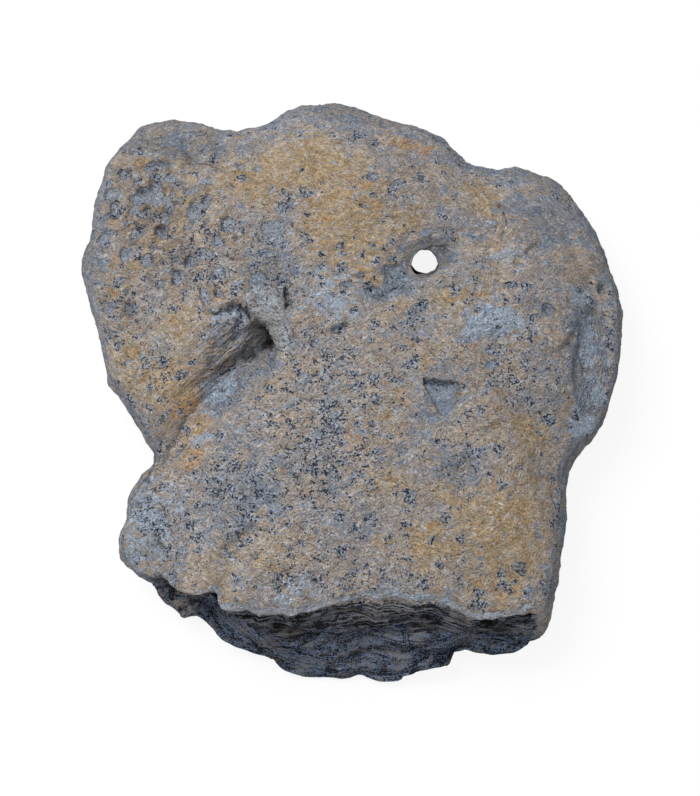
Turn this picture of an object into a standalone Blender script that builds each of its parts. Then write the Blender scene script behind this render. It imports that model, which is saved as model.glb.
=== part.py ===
"""Fossil ankylosaur scute: one thick bony plate lying on its back, with a vascular canal right through it.

The solid is a torus primitive whose hole becomes the canal. Each ring of the torus is laid along a
cross-section that runs from the rim over the top face, down the canal and back under the plate, and
the surface is then worked over with the plate's swells, troughs, ledges, pits and broken layers.
Design values are in millimetres, in plan (x to the right, y to the far side) and height z.
"""

import bpy
import numpy as np

MM = 0.001
PLAN_CENTRE = (0.2, 7.6)       # plan point that stands over the origin, the middle of the bounding box

# Rim of the plate, as three closed outlines of (x, y, height): the brow where the top face ends,
# the girth where the plate is widest, and the sole where the underside begins.
BROW = [
    (-57.5, 68, 25), (-51, 68, 26), (-44, 66, 27), (-38.5, 66.5, 27), (-35, 69, 26), (-29.5, 71, 26),
    (-23.5, 70, 27), (-17.5, 69, 29), (-12.5, 71, 29), (-7.5, 72.5, 29), (-1.5, 72, 29), (6.5, 68.5, 29),
    (13.5, 65, 29), (20, 61.5, 28), (31, 54.5, 27), (43.5, 50.5, 26), (51.5, 47, 25), (60.5, 35, 24),
    (64.5, 27, 23), (66.5, 18.5, 23), (66, 7, 23), (64, -2.5, 23), (60.5, -9.5, 23), (56, -13, 24),
    (51, -16.5, 24), (49, -23.5, 25), (48.5, -32, 26), (48.8, -39.5, 26), (47.5, -47, 25),
    (46.5, -54.5, 24), (44.5, -59.5, 23), (38, -61, 24), (31.5, -62, 25), (27, -60.5, 26),
    (19.5, -58.2, 27), (12, -57.5, 28), (5, -57.7, 28), (-1, -58.7, 28), (-7.5, -60.2, 28),
    (-12, -61.5, 28), (-19.5, -61, 27), (-27, -60.7, 27), (-29.7, -60, 26), (-32.3, -57.8, 25),
    (-34, -55, 25), (-37.3, -56.3, 24), (-40.5, -55, 23), (-44, -53.2, 22), (-46.2, -49.7, 20),
    (-50, -48.6, 18), (-53.3, -46.2, 17), (-55, -42, 17), (-55, -38.5, 18), (-53.5, -32, 19),
    (-52.5, -27.3, 19), (-50, -23.5, 19), (-47.7, -20, 18), (-47.3, -15.5, 18), (-49.6, -10.8, 20),
    (-55.5, -2.3, 22), (-59, 2.3, 23), (-61, 8.7, 23), (-61.7, 15.8, 23), (-64.2, 22.5, 22),
    (-67.5, 35.5, 22), (-66, 49.7, 22), (-63, 60.3, 24),
]
GIRTH = [
    (-57.5, 78.2, 18), (-51.5, 80, 18), (-44.5, 79.2, 18), (-39.5, 77.2, 17), (-30.5, 77.6, 16),
    (-22.6, 79.8, 15), (-18.2, 83.8, 14), (-13, 86.4, 13), (-7, 87.4, 12), (0, 86.2, 12), (11, 82.6, 12),
    (19.5, 80, 12), (25, 77.2, 12), (29.7, 72.2, 12), (33.2, 69, 12), (40.3, 67.2, 12),
    (45.3, 68, 12), (52, 65.5, 12), (58, 62, 12), (61.4, 57.6, 12), (67.8, 43.2, 13), (71, 33, 14),
    (71.9, 20.8, 15), (70.3, 8, 15), (67.2, -2.6, 15), (64.8, -8.8, 15), (61, -13.8, 14), (57.2, -18.8, 14),
    (55.4, -25, 14), (55.1, -33, 14), (53.3, -43.7, 14), (51.7, -52, 15), (50, -60, 16),
    (48, -63.6, 15), (42, -63.4, 15), (32.4, -63.2, 15), (22.4, -63.2, 15), (12.4, -63, 15),
    (2.5, -63.4, 15), (-7.5, -64, 14), (-15, -64.2, 13), (-21.2, -63.2, 13), (-25.4, -60, 14),
    (-30.4, -55.5, 14), (-36.3, -50.5, 14), (-41.4, -49, 14), (-44.7, -49, 14), (-47.8, -49.6, 14),
    (-54, -47.6, 13), (-58.2, -44, 12), (-58.8, -39, 12), (-57, -32.5, 12), (-56.6, -25, 12),
    (-54.4, -21.6, 12), (-51, -18.4, 12), (-51.6, -13.2, 12), (-56, -6.4, 13), (-59.8, 0.4, 14),
    (-63.2, 4.6, 14), (-65, 11.2, 14), (-67.2, 19.8, 14), (-70.2, 31.5, 14), (-71.6, 39, 15),
    (-69.8, 46, 15), (-68.2, 59.5, 16), (-66.4, 66.5, 16), (-62.8, 72, 17),
]
SOLE = [
    (-50, 74, 8), (-36, 70, 7), (-24, 74, 5), (-7, 81, 4), (12, 77, 4), (27, 70, 4), (42, 62, 5),
    (56, 56, 6), (64, 40, 7), (66, 21, 8), (63, 2, 8), (56, -14, 8), (52, -24, 9), (51, -42, 9),
    (49.2, -58, 10), (48, -64, 10), (43, -65.4, 10), (37, -64.8, 9), (30, -66, 8), (25, -67.8, 7),
    (17.5, -69.8, 5), (12.6, -71, 3), (3.8, -69.8, 2), (-2.5, -71.8, 1), (-10, -71.6, 1),
    (-15.2, -69.8, 2), (-21.5, -65, 4), (-26, -63, 5), (-31.7, -60.6, 5), (-36.5, -57, 6),
    (-39.5, -55.6, 6), (-43.7, -57.2, 6), (-47.4, -54.4, 7), (-50.4, -48, 8), (-53.5, -41, 7),
    (-52.5, -28, 6), (-47, -16, 6), (-55, 2, 7), (-61, 20, 7), (-65, 38, 8), (-62, 60, 8),
]
SHOULDER = np.radians(76)    # how far round the rim turns between the girth and the brow
BROKEN_FROM, BROKEN_TO = -42, -54    # y of the girth over which the rounded rim becomes a broken face
LAYER = 3.6                  # thickness of the layers that show on the broken face
LAYER_JUT = 3.2              # how far the most prominent layers stand out or lie back

# The canal: a slanting foramen with an uneven mouth, whose radius swells and pinches in a few waves.
CANAL_TOP = (19.4, 32.1, 32.0)
CANAL_FOOT = (20.8, 47.6, 0.0)
CANAL_HALF = (3.4, 3.8)
CANAL_WAVES = [(2, 0.6, 0.05), (3, 2.0, 0.07), (5, 0.0, 0.03)]    # waves round, turn, share of the radius

FACE_HEIGHT = 31.5
DOME_SHARE = 0.55          # share of the way in from the brow over which the face still rises
REST_SHARE = 0.55          # share of the way out from the canal over which the underside lies flat
REST_SINK = 0.3            # how far the flat lies below ground level before it is cut off there
WALL_TILT = 0.6            # how far the burrow leans under its rim, for each millimetre of depth

# Swells of the top face: x, y, half width, half length, turn in degrees, height.
SWELLS = [
    (-1, 54, 24, 15, -10, 3.2), (43, 10, 16, 18, 0, 1.6), (32, -44, 18, 16, 0, 1.0),
    (-36, 64, 7, 6, 0, -3.0), (-49, 41, 18, 20, 0, -1.0), (-24, -51, 9, 8, 0, 1.0),
    (-38, 12, 7, 5, 40, 1.6), (-12, 18, 6, 12, 0, 1.2), (10, -25, 20, 9, 0, 0.6), (30, -8, 8, 5, 0, 0.8),
]
# Troughs: half width on the left and on the right of the path, then path points of (x, y, depth).
TROUGHS = [
    (12.5, 4.4, [(-24, 9, 6.5), (-30.2, 4, 5.6), (-36.4, -1.5, 4.6), (-41, -6, 3.8), (-44.5, -11, 3.2),
                 (-49, -18, 3.0)]),
    (4.2, 4.2, [(4, 23.2, 1.0), (13, 27.7, 2.6), (19.4, 32, 3.2), (27.2, 37, 2.4), (34, 40.6, 1.0)]),
    (5.0, 5.0, [(65, 28, 2.6), (61.5, 16.3, 3.0), (61, 3.7, 3.2), (59.5, -8.7, 3.0)]),
    (2.6, 2.6, [(-45.3, -23, 1.8), (-46.2, -31, 2.8), (-46.4, -41.6, 3.4), (-44.8, -52, 4.2)]),
    (2.4, 2.4, [(-28.3, -43, 1.4), (-30, -50.6, 1.8), (-31, -59, 2.0)]),
    (1.0, 1.0, [(-16.2, 25, 2.2), (-15.8, 21, 2.4), (-17, 17, 1.8)]),
    (2.2, 2.2, [(30, -20, 1.4), (28.4, -24.4, 1.6), (26, -28, 1.2)]),
]
# Ledges: the distance over which the drop runs out on the right of the path, the near side, then
# path points of (x, y, drop).
LEDGES = [
    (6.5, [(-42, 14.4, 0.0), (-38.6, 16.9, 0.8), (-35.5, 16.9, 1.6), (-33, 18.6, 2.6), (-30.4, 20, 3.0),
           (-28.3, 20.7, 3.2), (-26.4, 17, 3.8), (-23.6, 14.2, 4.4), (-21, 12.6, 4.6), (-19.9, 9.5, 4.6),
           (-18.6, 7, 4.2), (-19.3, 4.2, 3.4), (-20.8, 1.5, 2.4), (-22, -4, 0.8), (-24, -9, 0.0)]),
    (5.0, [(-48, -17.5, 0.8), (-43.5, -9, 1.4), (-38.5, -3.6, 1.6), (-33, 2.6, 1.8), (-27, 8.6, 2.0)]),
    (5.0, [(16, -3.6, 0.0), (17.6, -2.6, 2.6), (19.7, -1, 3.4), (22.8, -1.2, 3.4), (26.5, -2.2, 2.4),
           (32.3, -3.4, 0.0)]),
    (3.0, [(18.6, -0.4, 0.0), (19.8, 0.6, 0.9), (21.8, 1.6, 1.1), (24.8, 1.9, 1.1), (28.4, 0.8, 0.0)]),
    (5.0, [(-31, -44, 0.0), (-27.6, -39.1, 1.8), (-24.6, -38.3, 2.0), (-21.4, -39.6, 1.2), (-18, -41, 0.0)]),
    (9.0, [(46, 3, 0.0), (50, 8, 1.6), (54, 13.5, 1.8), (57, 20, 1.0), (60, 26, 0.0)]),
    (4.0, [(2, 21, 0.0), (12, 24.5, 0.6), (22, 25, 0.6), (34, 21.5, 0.0)]),
]
# Pits: x, y, half width, half length, turn in degrees, depth.
PITS = [
    (-53.7, 55.6, 4.0, 2.8, 10, 2.4), (-51.8, 62.8, 4.6, 1.6, 5, 2.0), (-61.4, 61, 2.2, 1.4, 0, 1.5),
    (-64, 52.3, 1.7, 2.4, 0, 1.5), (-56.7, 44.3, 1.7, 2.8, -15, 2.2), (-50.6, 44.3, 2.4, 3.2, 0, 2.3),
    (-54.5, 42, 1.5, 1.6, 0, 1.4), (-47.2, 52, 1.4, 4.0, 0, 1.7), (-38.6, 59.2, 2.1, 2.1, 0, 1.8),
    (-41.3, 51, 2.2, 3.1, 0, 1.8), (-32.2, 46, 3.0, 2.2, 0, 2.0), (-36.5, 44.8, 2.1, 1.2, 0, 1.4),
    (-35.5, 42, 2.4, 1.6, 0, 1.5), (-42.7, 35.5, 1.7, 2.2, 30, 2.4), (-53.2, 36, 2.5, 3.2, -20, 2.2),
    (-45.6, 37.3, 1.2, 2.6, -35, 1.9), (-44.4, 30.6, 2.8, 2.6, -15, 2.6), (-57.6, 22, 1.9, 2.8, 0, 2.6),
    (-63.5, 20.5, 2.8, 2.0, 10, 2.0), (-36.4, 24.3, 1.5, 4.2, 10, 1.8), (-66, 34.5, 1.7, 2.6, 0, 1.6),
    (-58, 58, 2.4, 1.2, 0, 1.4), (-60, 47, 1.6, 3.4, -20, 1.6), (-37.6, 54.5, 1.1, 2.2, -25, 1.3),
    (-21, 44.3, 3.6, 3.6, 0, 1.2), (-24, 29.2, 3.4, 3.4, 0, 1.3), (22.4, -5.6, 3.2, 3.8, 12, 3.0),
    (-3.1, 14.5, 2.1, 1.3, 0, 1.8), (-0.8, 29.2, 3.0, 1.2, 25, 1.5), (50.7, 18.4, 1.5, 1.5, 0, 1.5),
    (5.8, 54.5, 1.8, 1.6, 0, 1.4), (64.8, 24, 1.2, 1.2, 0, 1.4), (12.5, 52.8, 2.2, 1.6, 0, 1.0),
]
BURROW = (-22.6, 10.2, 3.1, 2.9, 30, 8.5)

# Lumpy wear of the whole surface: size of the lumps and their height.
WEAR = [(14.0, 0.9), (6.0, 0.45)]

ROUND_STEPS = 256          # steps round the canal
SECTION_STEPS = {"flank": 14, "top": 56, "canal": 9, "under": 20, "heel": 9}
ROUNDING_PASSES = 2
TRIANGLES = 9400
BONE = (0.36, 0.31, 0.26, 1.0)
BONE_ROUGHNESS = 0.85


def clear_scene():
    for old in list(bpy.data.objects):
        bpy.data.objects.remove(old)


def rough(points, size, seed):
    """Smooth noise from about -1 to 1 with lumps of the given size: random slopes on a lattice, blended."""
    rng = np.random.default_rng(seed)
    order = rng.permutation(256)
    slopes = rng.normal(size=(256, 3))
    slopes /= np.linalg.norm(slopes, axis=1, keepdims=True)
    cell = np.floor(points / size).astype(int)
    part = points / size - cell
    ease = part**3 * (part * (part * 6 - 15) + 10)
    total = np.zeros(points.shape[:-1])
    for corner in np.ndindex(2, 2, 2):
        at = (cell + corner) & 255
        pick = order[(order[(order[at[..., 0]] + at[..., 1]) & 255] + at[..., 2]) & 255]
        share = np.prod(np.where(corner, ease, 1 - ease), axis=-1)
        total += share * (slopes[pick] * (part - corner)).sum(axis=-1)
    return 1.6 * total


def smooth_step(low, high, value):
    """0 at low, 1 at high, and an S-curve between."""
    share = np.clip((value - low) / (high - low), 0, 1)
    return share * share * (3 - 2 * share)


def outline_at(outline, angle):
    """Radius and height of a closed outline at each angle round the canal.

    The points are sorted by angle and joined by cubics whose end slopes are the harmonic mean of the
    slopes on both sides, or level at a peak, so that the curve never swings past its points.
    """
    x, y, z = np.array(outline, float).T
    x, y = x - CANAL_TOP[0], y - CANAL_TOP[1]
    turn = np.arctan2(y, x)
    order = np.argsort(turn)
    knots = np.column_stack([np.hypot(x, y), z])[order]
    turn = turn[order]
    turn = np.concatenate([turn[-2:] - 2 * np.pi, turn, turn[:2] + 2 * np.pi])
    knots = np.concatenate([knots[-2:], knots, knots[:2]])
    climb = np.diff(knots, axis=0) / np.diff(turn)[:, None]
    before, after = climb[:-1], climb[1:]
    same_way = before * after > 0
    slope = np.zeros(knots.shape)
    slope[1:-1] = np.where(same_way, 2 * before * after / np.where(same_way, before + after, 1), 0)
    left = np.clip(np.searchsorted(turn, angle, side="right") - 1, 1, len(turn) - 3)
    span = (turn[left + 1] - turn[left])[:, None]
    part = ((angle - turn[left]) / span[:, 0])[:, None]
    return (
        knots[left] * (1 + 2 * part) * (1 - part) ** 2
        + slope[left] * span * part * (1 - part) ** 2
        + knots[left + 1] * part**2 * (3 - 2 * part)
        + slope[left + 1] * span * part**2 * (part - 1)
    ).T


def even_angles(count):
    """Angles round the canal that step evenly along the girth."""
    fine = np.linspace(-np.pi, np.pi, 8001)
    radius, _ = outline_at(GIRTH, fine)
    x, y = radius * np.cos(fine), radius * np.sin(fine)
    run = np.concatenate([[0], np.cumsum(np.hypot(np.diff(x), np.diff(y)))])
    return np.interp(np.arange(count) / count * run[-1], run, fine)


def along(x, y, path):
    """Distance to a path of (x, y, amount), the amount at the nearest place, and whether that is on its right."""
    best = np.full(x.shape, np.inf)
    amount = np.zeros(x.shape)
    right = np.zeros(x.shape, bool)
    for (x0, y0, amount0), (x1, y1, amount1) in zip(path[:-1], path[1:]):
        dx, dy = x1 - x0, y1 - y0
        part = np.clip(((x - x0) * dx + (y - y0) * dy) / (dx * dx + dy * dy), 0, 1)
        away = np.hypot(x - x0 - part * dx, y - y0 - part * dy)
        nearer = away < best
        best = np.where(nearer, away, best)
        amount = np.where(nearer, amount0 + part * (amount1 - amount0), amount)
        right = np.where(nearer, dy * (x - x0) > dx * (y - y0), right)
    return best, amount, right


def oval(x, y, centre_x, centre_y, half_x, half_y, turn):
    """Distance from an oval's centre as a share of its half size, so its edge is at 1."""
    c, s = np.cos(np.radians(turn)), np.sin(np.radians(turn))
    dx, dy = x - centre_x, y - centre_y
    return np.hypot((c * dx + s * dy) / half_x, (c * dy - s * dx) / half_y)


def face_relief(x, y):
    """Height added to the top face by its swells, troughs, ledges and pits.

    A swell and a trough fall off as exp(-d^2). A ledge is a sudden drop that runs out as
    exp(-d^1.5) on its low side. A pit has a flat floor and an S-shaped wall.
    """
    height = np.zeros(x.shape)
    for *place, rise in SWELLS:
        height += rise * np.exp(-(oval(x, y, *place) ** 2))
    for left_half, right_half, path in TROUGHS:
        away, depth, right = along(x, y, path)
        height -= depth * np.exp(-((away / np.where(right, right_half, left_half)) ** 2))
    for run, path in LEDGES:
        away, drop, right = along(x, y, path)
        low_side = np.exp(-((away / run) ** 1.5))
        lip = 0.3 * np.exp(-((away / 0.7) ** 2))
        height -= drop * np.where(right, low_side, lip)
    for *place, depth in PITS:
        height -= depth * (1 - smooth_step(0.55, 1.15, oval(x, y, *place)))
    return height


def burrow_depth(x, y):
    """Depth of the burrow at the head of the long trough."""
    *place, depth = BURROW
    return depth * (1 - smooth_step(0.35, 1.2, oval(x, y, *place)))


def rim_turn(share, roundness):
    """Shares of the way in and up, for a rim that turns through SHOULDER where roundness is 1.

    In goes as one less the cosine and up as the sine. Where roundness is 0 the rim runs straight.
    """
    turn = share * SHOULDER
    inward = (1 - np.cos(turn)) / (1 - np.cos(SHOULDER))
    upward = np.sin(turn) / np.sin(SHOULDER)
    return share + roundness * (inward - share), share + roundness * (upward - share)


def rim_rows(girth, edge, steps, roundness):
    """Rows from the girth to the brow or the sole, on a rounded turn, the last row left out."""
    share = (np.arange(steps) / steps)[:, None]
    inward, upward = rim_turn(share, roundness[None, :])
    plan = girth[:, :2] + (edge - girth)[:, :2] * inward[..., None]
    height = girth[:, 2] + (edge - girth)[:, 2] * upward
    return np.concatenate([plan, height[..., None]], axis=-1)


def straight_rows(start, end, steps):
    """Rows straight from start towards end, the last row left out."""
    share = (np.arange(steps) / steps)[:, None, None]
    return start + (end - start) * share


def laid_sections():
    """Grid of points before any relief, rows along the section and columns round the canal.

    Also returns how far each column belongs to the broken near face, from 0 to 1.
    """
    angle = even_angles(ROUND_STEPS)
    ray = np.column_stack([np.cos(angle), np.sin(angle)])

    def ring(outline):
        radius, height = outline_at(outline, angle)
        return np.column_stack([CANAL_TOP[:2] + ray * radius[:, None], height])

    def mouth(centre):
        swell = 1 + sum(share * np.cos(waves * angle + turn) for waves, turn, share in CANAL_WAVES)
        return np.column_stack([centre[:2] + ray * CANAL_HALF * swell[:, None], np.full(len(ray), centre[2])])

    brow, girth, sole = ring(BROW), ring(GIRTH), ring(SOLE)
    top, foot = mouth(CANAL_TOP), mouth(CANAL_FOOT)
    broken = smooth_step(BROKEN_FROM, BROKEN_TO, girth[:, 1])
    heel = rim_rows(girth, sole, SECTION_STEPS["heel"] + 1, 1 - broken)
    rows = [
        rim_rows(girth, brow, SECTION_STEPS["flank"], 1 - broken),
        straight_rows(brow, top, SECTION_STEPS["top"]),
        straight_rows(top, foot, SECTION_STEPS["canal"]),
        straight_rows(foot, sole, SECTION_STEPS["under"]),
        sole[None],
        heel[:0:-1],
    ]
    return np.concatenate(rows), broken


def shaped_grid():
    """The grid with its doming, rounding and relief."""
    grid, broken = laid_sections()
    steps = dict(SECTION_STEPS, heel=SECTION_STEPS["heel"] + 1)
    flank, top, canal, under, heel = np.split(np.arange(len(grid)), np.cumsum(list(steps.values()))[:-1])
    # The face rises from the brow to its inner height, steeply at first.
    inward = np.clip(np.arange(len(top)) / len(top) / DOME_SHARE, 0, 1)[:, None]
    brow_height = grid[top[0], :, 2]
    grid[top, :, 2] = brow_height + (FACE_HEIGHT - brow_height) * (1 - (1 - inward) ** 2)
    # The underside is flat in the middle and lifts to the sole.
    outward = (np.arange(len(under)) / len(under))[:, None]
    sole_height = grid[heel[0], :, 2]
    grid[under, :, 2] = (sole_height + REST_SINK) * smooth_step(REST_SHARE, 1.0, outward) - REST_SINK
    # The shoulders are eased, but neither the broken edge nor the canal.
    soft = np.ones(len(grid))
    soft[canal] = 0
    soft[[top[-1], under[0]]] = 0
    for _ in range(ROUNDING_PASSES):
        mean = (np.roll(grid, 1, axis=0) + np.roll(grid, -1, axis=0)) / 2
        grid += 0.5 * (soft[:, None] * (1 - broken))[..., None] * (mean - grid)
    # The relief of the face fades out past the brow.
    facing = np.zeros(len(grid))
    facing[top] = 1
    facing[flank] = smooth_step(0.3, 1.0, np.arange(len(flank)) / len(flank))
    x, y = grid[..., 0], grid[..., 1]
    relief = face_relief(x, y) * facing[:, None]
    deep = burrow_depth(x, y) * facing[:, None]
    mouth_height = grid[canal[0], :, 2] + relief[top[-1]]
    grid[..., 2] += relief - deep
    grid[..., :2] += WALL_TILT * deep[..., None]
    # The canal wall hangs from the mouth that the relief has lowered.
    drop = (np.arange(len(canal)) / len(canal))[:, None]
    grid[canal, :, 2] = mouth_height * (1 - drop)
    layers_show = np.zeros(len(grid))
    layers_show[flank] = smooth_step(1.0, 0.85, np.arange(len(flank)) / len(flank))
    layers_show[heel] = 1
    return grid, layers_show[:, None] * broken


def layer_jut(points):
    """How far each layer of the broken face stands out: one drifting value per layer, layers gently bent."""
    x, y, z = np.moveaxis(points, -1, 0)
    level = np.stack([x, y, 0 * z], axis=-1)
    layer = np.floor((z + 1.5 * rough(level, 22, 8)) / LAYER)
    return LAYER_JUT * rough(np.stack([x, 0 * x, 37.3 * layer], axis=-1), 15, 9)


def weathered(grid, layers_show):
    """Lumpy wear all over, none in the canal, little on the ground, and layers on the broken near face."""
    wear = sum(height * rough(grid, size, seed) for seed, (size, height) in enumerate(WEAR, start=3))
    out = grid[..., :2] - CANAL_TOP[:2]
    away = np.linalg.norm(out, axis=-1)
    wear *= smooth_step(3, 9, away)
    out /= np.maximum(away, 1)[..., None]
    grid[..., 1] -= layers_show * layer_jut(grid)
    sideways = 0.6 * wear * smooth_step(26, 14, grid[..., 2])
    grid[..., 2] += wear * (0.3 + 0.7 * smooth_step(4, 20, grid[..., 2]))
    grid[..., :2] += sideways[..., None] * out
    return grid


def scute_mesh(grid):
    """The torus primitive with its rings laid on the grid, and cut off at the ground."""
    rows, columns = grid.shape[:2]
    bpy.ops.mesh.primitive_torus_add(
        major_segments=columns, minor_segments=rows, major_radius=0.05, minor_radius=0.02
    )
    scute = bpy.context.object
    points = grid.transpose(1, 0, 2).reshape(-1, 3) - (*PLAN_CENTRE, 0)
    points[:, 2] = np.maximum(points[:, 2], 0)
    scute.data.vertices.foreach_set("co", (points * MM).astype(np.float32).ravel())
    return scute


def thin_out(scute):
    """Fewer triangles where the surface is plain, and the resting facets put back on the ground."""
    thinner = scute.modifiers.new("fewer faces", "DECIMATE")
    thinner.ratio = TRIANGLES / (2 * len(scute.data.polygons))
    thinner.use_collapse_triangulate = True
    graph = bpy.context.evaluated_depsgraph_get()
    mesh = bpy.data.meshes.new_from_object(scute.evaluated_get(graph))
    scute.modifiers.clear()
    scute.data = mesh
    for vertex in mesh.vertices:
        if vertex.co.z < 0.05 * MM:
            vertex.co.z = 0.0
    mesh.shade_smooth()


def bone_material():
    material = bpy.data.materials.new("fossil bone")
    material.use_nodes = True
    shader = material.node_tree.nodes["Principled BSDF"]
    shader.inputs["Base Color"].default_value = BONE
    shader.inputs["Roughness"].default_value = BONE_ROUGHNESS
    return material


def main():
    clear_scene()
    grid, layers_show = shaped_grid()
    scute = scute_mesh(weathered(grid, layers_show))
    scute.name = scute.data.name = "scute"
    thin_out(scute)
    scute.data.materials.clear()
    scute.data.materials.append(bone_material())
    collection = bpy.data.collections.new("fossil ankylosaur scute")
    bpy.context.scene.collection.children.link(collection)
    for owner in list(scute.users_collection):
        owner.objects.unlink(scute)
    collection.objects.link(scute)


main()
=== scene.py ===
"""Looks of the fossil ankylosaur scute: one worn bony plate with its pits, fibres, layers and minerals.

Design values are in millimetres, in the plate's own plan (x to the right, y to the far side) and height
z, the same ones that the solid is laid out with. The mesh is in metres.
"""

import bpy
import numpy as np
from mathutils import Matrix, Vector


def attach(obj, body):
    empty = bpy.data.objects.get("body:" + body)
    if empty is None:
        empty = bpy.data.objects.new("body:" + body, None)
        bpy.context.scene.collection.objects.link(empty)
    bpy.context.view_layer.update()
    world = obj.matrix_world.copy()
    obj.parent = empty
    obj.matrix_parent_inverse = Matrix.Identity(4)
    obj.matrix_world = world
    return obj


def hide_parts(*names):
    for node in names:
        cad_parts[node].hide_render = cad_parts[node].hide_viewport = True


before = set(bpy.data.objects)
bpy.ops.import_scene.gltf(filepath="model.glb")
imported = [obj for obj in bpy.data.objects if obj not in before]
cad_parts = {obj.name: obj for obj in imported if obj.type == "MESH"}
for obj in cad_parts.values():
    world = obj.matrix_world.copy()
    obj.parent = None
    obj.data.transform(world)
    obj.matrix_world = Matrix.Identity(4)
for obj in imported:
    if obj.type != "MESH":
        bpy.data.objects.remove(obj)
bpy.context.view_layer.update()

MM = 0.001
PLAN_CENTRE = (0.2, 7.6)    # the place in the plan that becomes the scene's middle

# ---------------------------------------------------------------- layout of the plate

# Rim of the plate, as three closed outlines of (x, y, height): the brow where the top face ends,
# the girth where the plate is widest, and the sole where the underside begins.
BROW = [
    (-57.5, 68, 25), (-51, 68, 26), (-44, 66, 27), (-38.5, 66.5, 27), (-35, 69, 26), (-29.5, 71, 26),
    (-23.5, 70, 27), (-17.5, 69, 29), (-12.5, 71, 29), (-7.5, 72.5, 29), (-1.5, 72, 29), (6.5, 68.5, 29),
    (13.5, 65, 29), (20, 61.5, 28), (31, 54.5, 27), (43.5, 50.5, 26), (51.5, 47, 25), (60.5, 35, 24),
    (64.5, 27, 23), (66.5, 18.5, 23), (66, 7, 23), (64, -2.5, 23), (60.5, -9.5, 23), (56, -13, 24),
    (51, -16.5, 24), (49, -23.5, 25), (48.5, -32, 26), (48.8, -39.5, 26), (47.5, -47, 25),
    (46.5, -54.5, 24), (44.5, -59.5, 23), (38, -61, 24), (31.5, -62, 25), (27, -60.5, 26),
    (19.5, -58.2, 27), (12, -57.5, 28), (5, -57.7, 28), (-1, -58.7, 28), (-7.5, -60.2, 28),
    (-12, -61.5, 28), (-19.5, -61, 27), (-27, -60.7, 27), (-29.7, -60, 26), (-32.3, -57.8, 25),
    (-34, -55, 25), (-37.3, -56.3, 24), (-40.5, -55, 23), (-44, -53.2, 22), (-46.2, -49.7, 20),
    (-50, -48.6, 18), (-53.3, -46.2, 17), (-55, -42, 17), (-55, -38.5, 18), (-53.5, -32, 19),
    (-52.5, -27.3, 19), (-50, -23.5, 19), (-47.7, -20, 18), (-47.3, -15.5, 18), (-49.6, -10.8, 20),
    (-55.5, -2.3, 22), (-59, 2.3, 23), (-61, 8.7, 23), (-61.7, 15.8, 23), (-64.2, 22.5, 22),
    (-67.5, 35.5, 22), (-66, 49.7, 22), (-63, 60.3, 24),
]
GIRTH = [
    (-57.5, 78.2, 18), (-51.5, 80, 18), (-44.5, 79.2, 18), (-39.5, 77.2, 17), (-30.5, 77.6, 16),
    (-22.6, 79.8, 15), (-18.2, 83.8, 14), (-13, 86.4, 13), (-7, 87.4, 12), (0, 86.2, 12), (11, 82.6, 12),
    (19.5, 80, 12), (25, 77.2, 12), (29.7, 72.2, 12), (33.2, 69, 12), (40.3, 67.2, 12),
    (45.3, 68, 12), (52, 65.5, 12), (58, 62, 12), (61.4, 57.6, 12), (67.8, 43.2, 13), (71, 33, 14),
    (71.9, 20.8, 15), (70.3, 8, 15), (67.2, -2.6, 15), (64.8, -8.8, 15), (61, -13.8, 14), (57.2, -18.8, 14),
    (55.4, -25, 14), (55.1, -33, 14), (53.3, -43.7, 14), (51.7, -52, 15), (50, -60, 16),
    (48, -63.6, 15), (42, -63.4, 15), (32.4, -63.2, 15), (22.4, -63.2, 15), (12.4, -63, 15),
    (2.5, -63.4, 15), (-7.5, -64, 14), (-15, -64.2, 13), (-21.2, -63.2, 13), (-25.4, -60, 14),
    (-30.4, -55.5, 14), (-36.3, -50.5, 14), (-41.4, -49, 14), (-44.7, -49, 14), (-47.8, -49.6, 14),
    (-54, -47.6, 13), (-58.2, -44, 12), (-58.8, -39, 12), (-57, -32.5, 12), (-56.6, -25, 12),
    (-54.4, -21.6, 12), (-51, -18.4, 12), (-51.6, -13.2, 12), (-56, -6.4, 13), (-59.8, 0.4, 14),
    (-63.2, 4.6, 14), (-65, 11.2, 14), (-67.2, 19.8, 14), (-70.2, 31.5, 14), (-71.6, 39, 15),
    (-69.8, 46, 15), (-68.2, 59.5, 16), (-66.4, 66.5, 16), (-62.8, 72, 17),
]
SOLE = [
    (-50, 74, 8), (-36, 70, 7), (-24, 74, 5), (-7, 81, 4), (12, 77, 4), (27, 70, 4), (42, 62, 5),
    (56, 56, 6), (64, 40, 7), (66, 21, 8), (63, 2, 8), (56, -14, 8), (52, -24, 9), (51, -42, 9),
    (49.2, -58, 10), (48, -64, 10), (43, -65.4, 10), (37, -64.8, 9), (30, -66, 8), (25, -67.8, 7),
    (17.5, -69.8, 5), (12.6, -71, 3), (3.8, -69.8, 2), (-2.5, -71.8, 1), (-10, -71.6, 1),
    (-15.2, -69.8, 2), (-21.5, -65, 4), (-26, -63, 5), (-31.7, -60.6, 5), (-36.5, -57, 6),
    (-39.5, -55.6, 6), (-43.7, -57.2, 6), (-47.4, -54.4, 7), (-50.4, -48, 8), (-53.5, -41, 7),
    (-52.5, -28, 6), (-47, -16, 6), (-55, 2, 7), (-61, 20, 7), (-65, 38, 8), (-62, 60, 8),
]
SHOULDER = np.radians(76)    # how far round the rim turns from the girth to the brow or to the sole
BROKEN_FROM, BROKEN_TO = -42, -54    # y of the girth over which the rounded rim becomes a broken face
BROKEN_ENDS = (-53, -49, 44.0, 49.0)    # x of the girth over which the broken face fades in and out
LAYER = 3.6                  # thickness of the thick layers that show on the broken face
LAYER_JUT = 3.2              # how far the most prominent layers stand out or lie back
LAYERS_FADE = (1.0, 0.75)    # shares of the way up the rim between which the layers fade in
RELIEF_FADE = (0.3, 1.0)     # shares of the way up the rim between which the face's relief fades in

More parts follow.
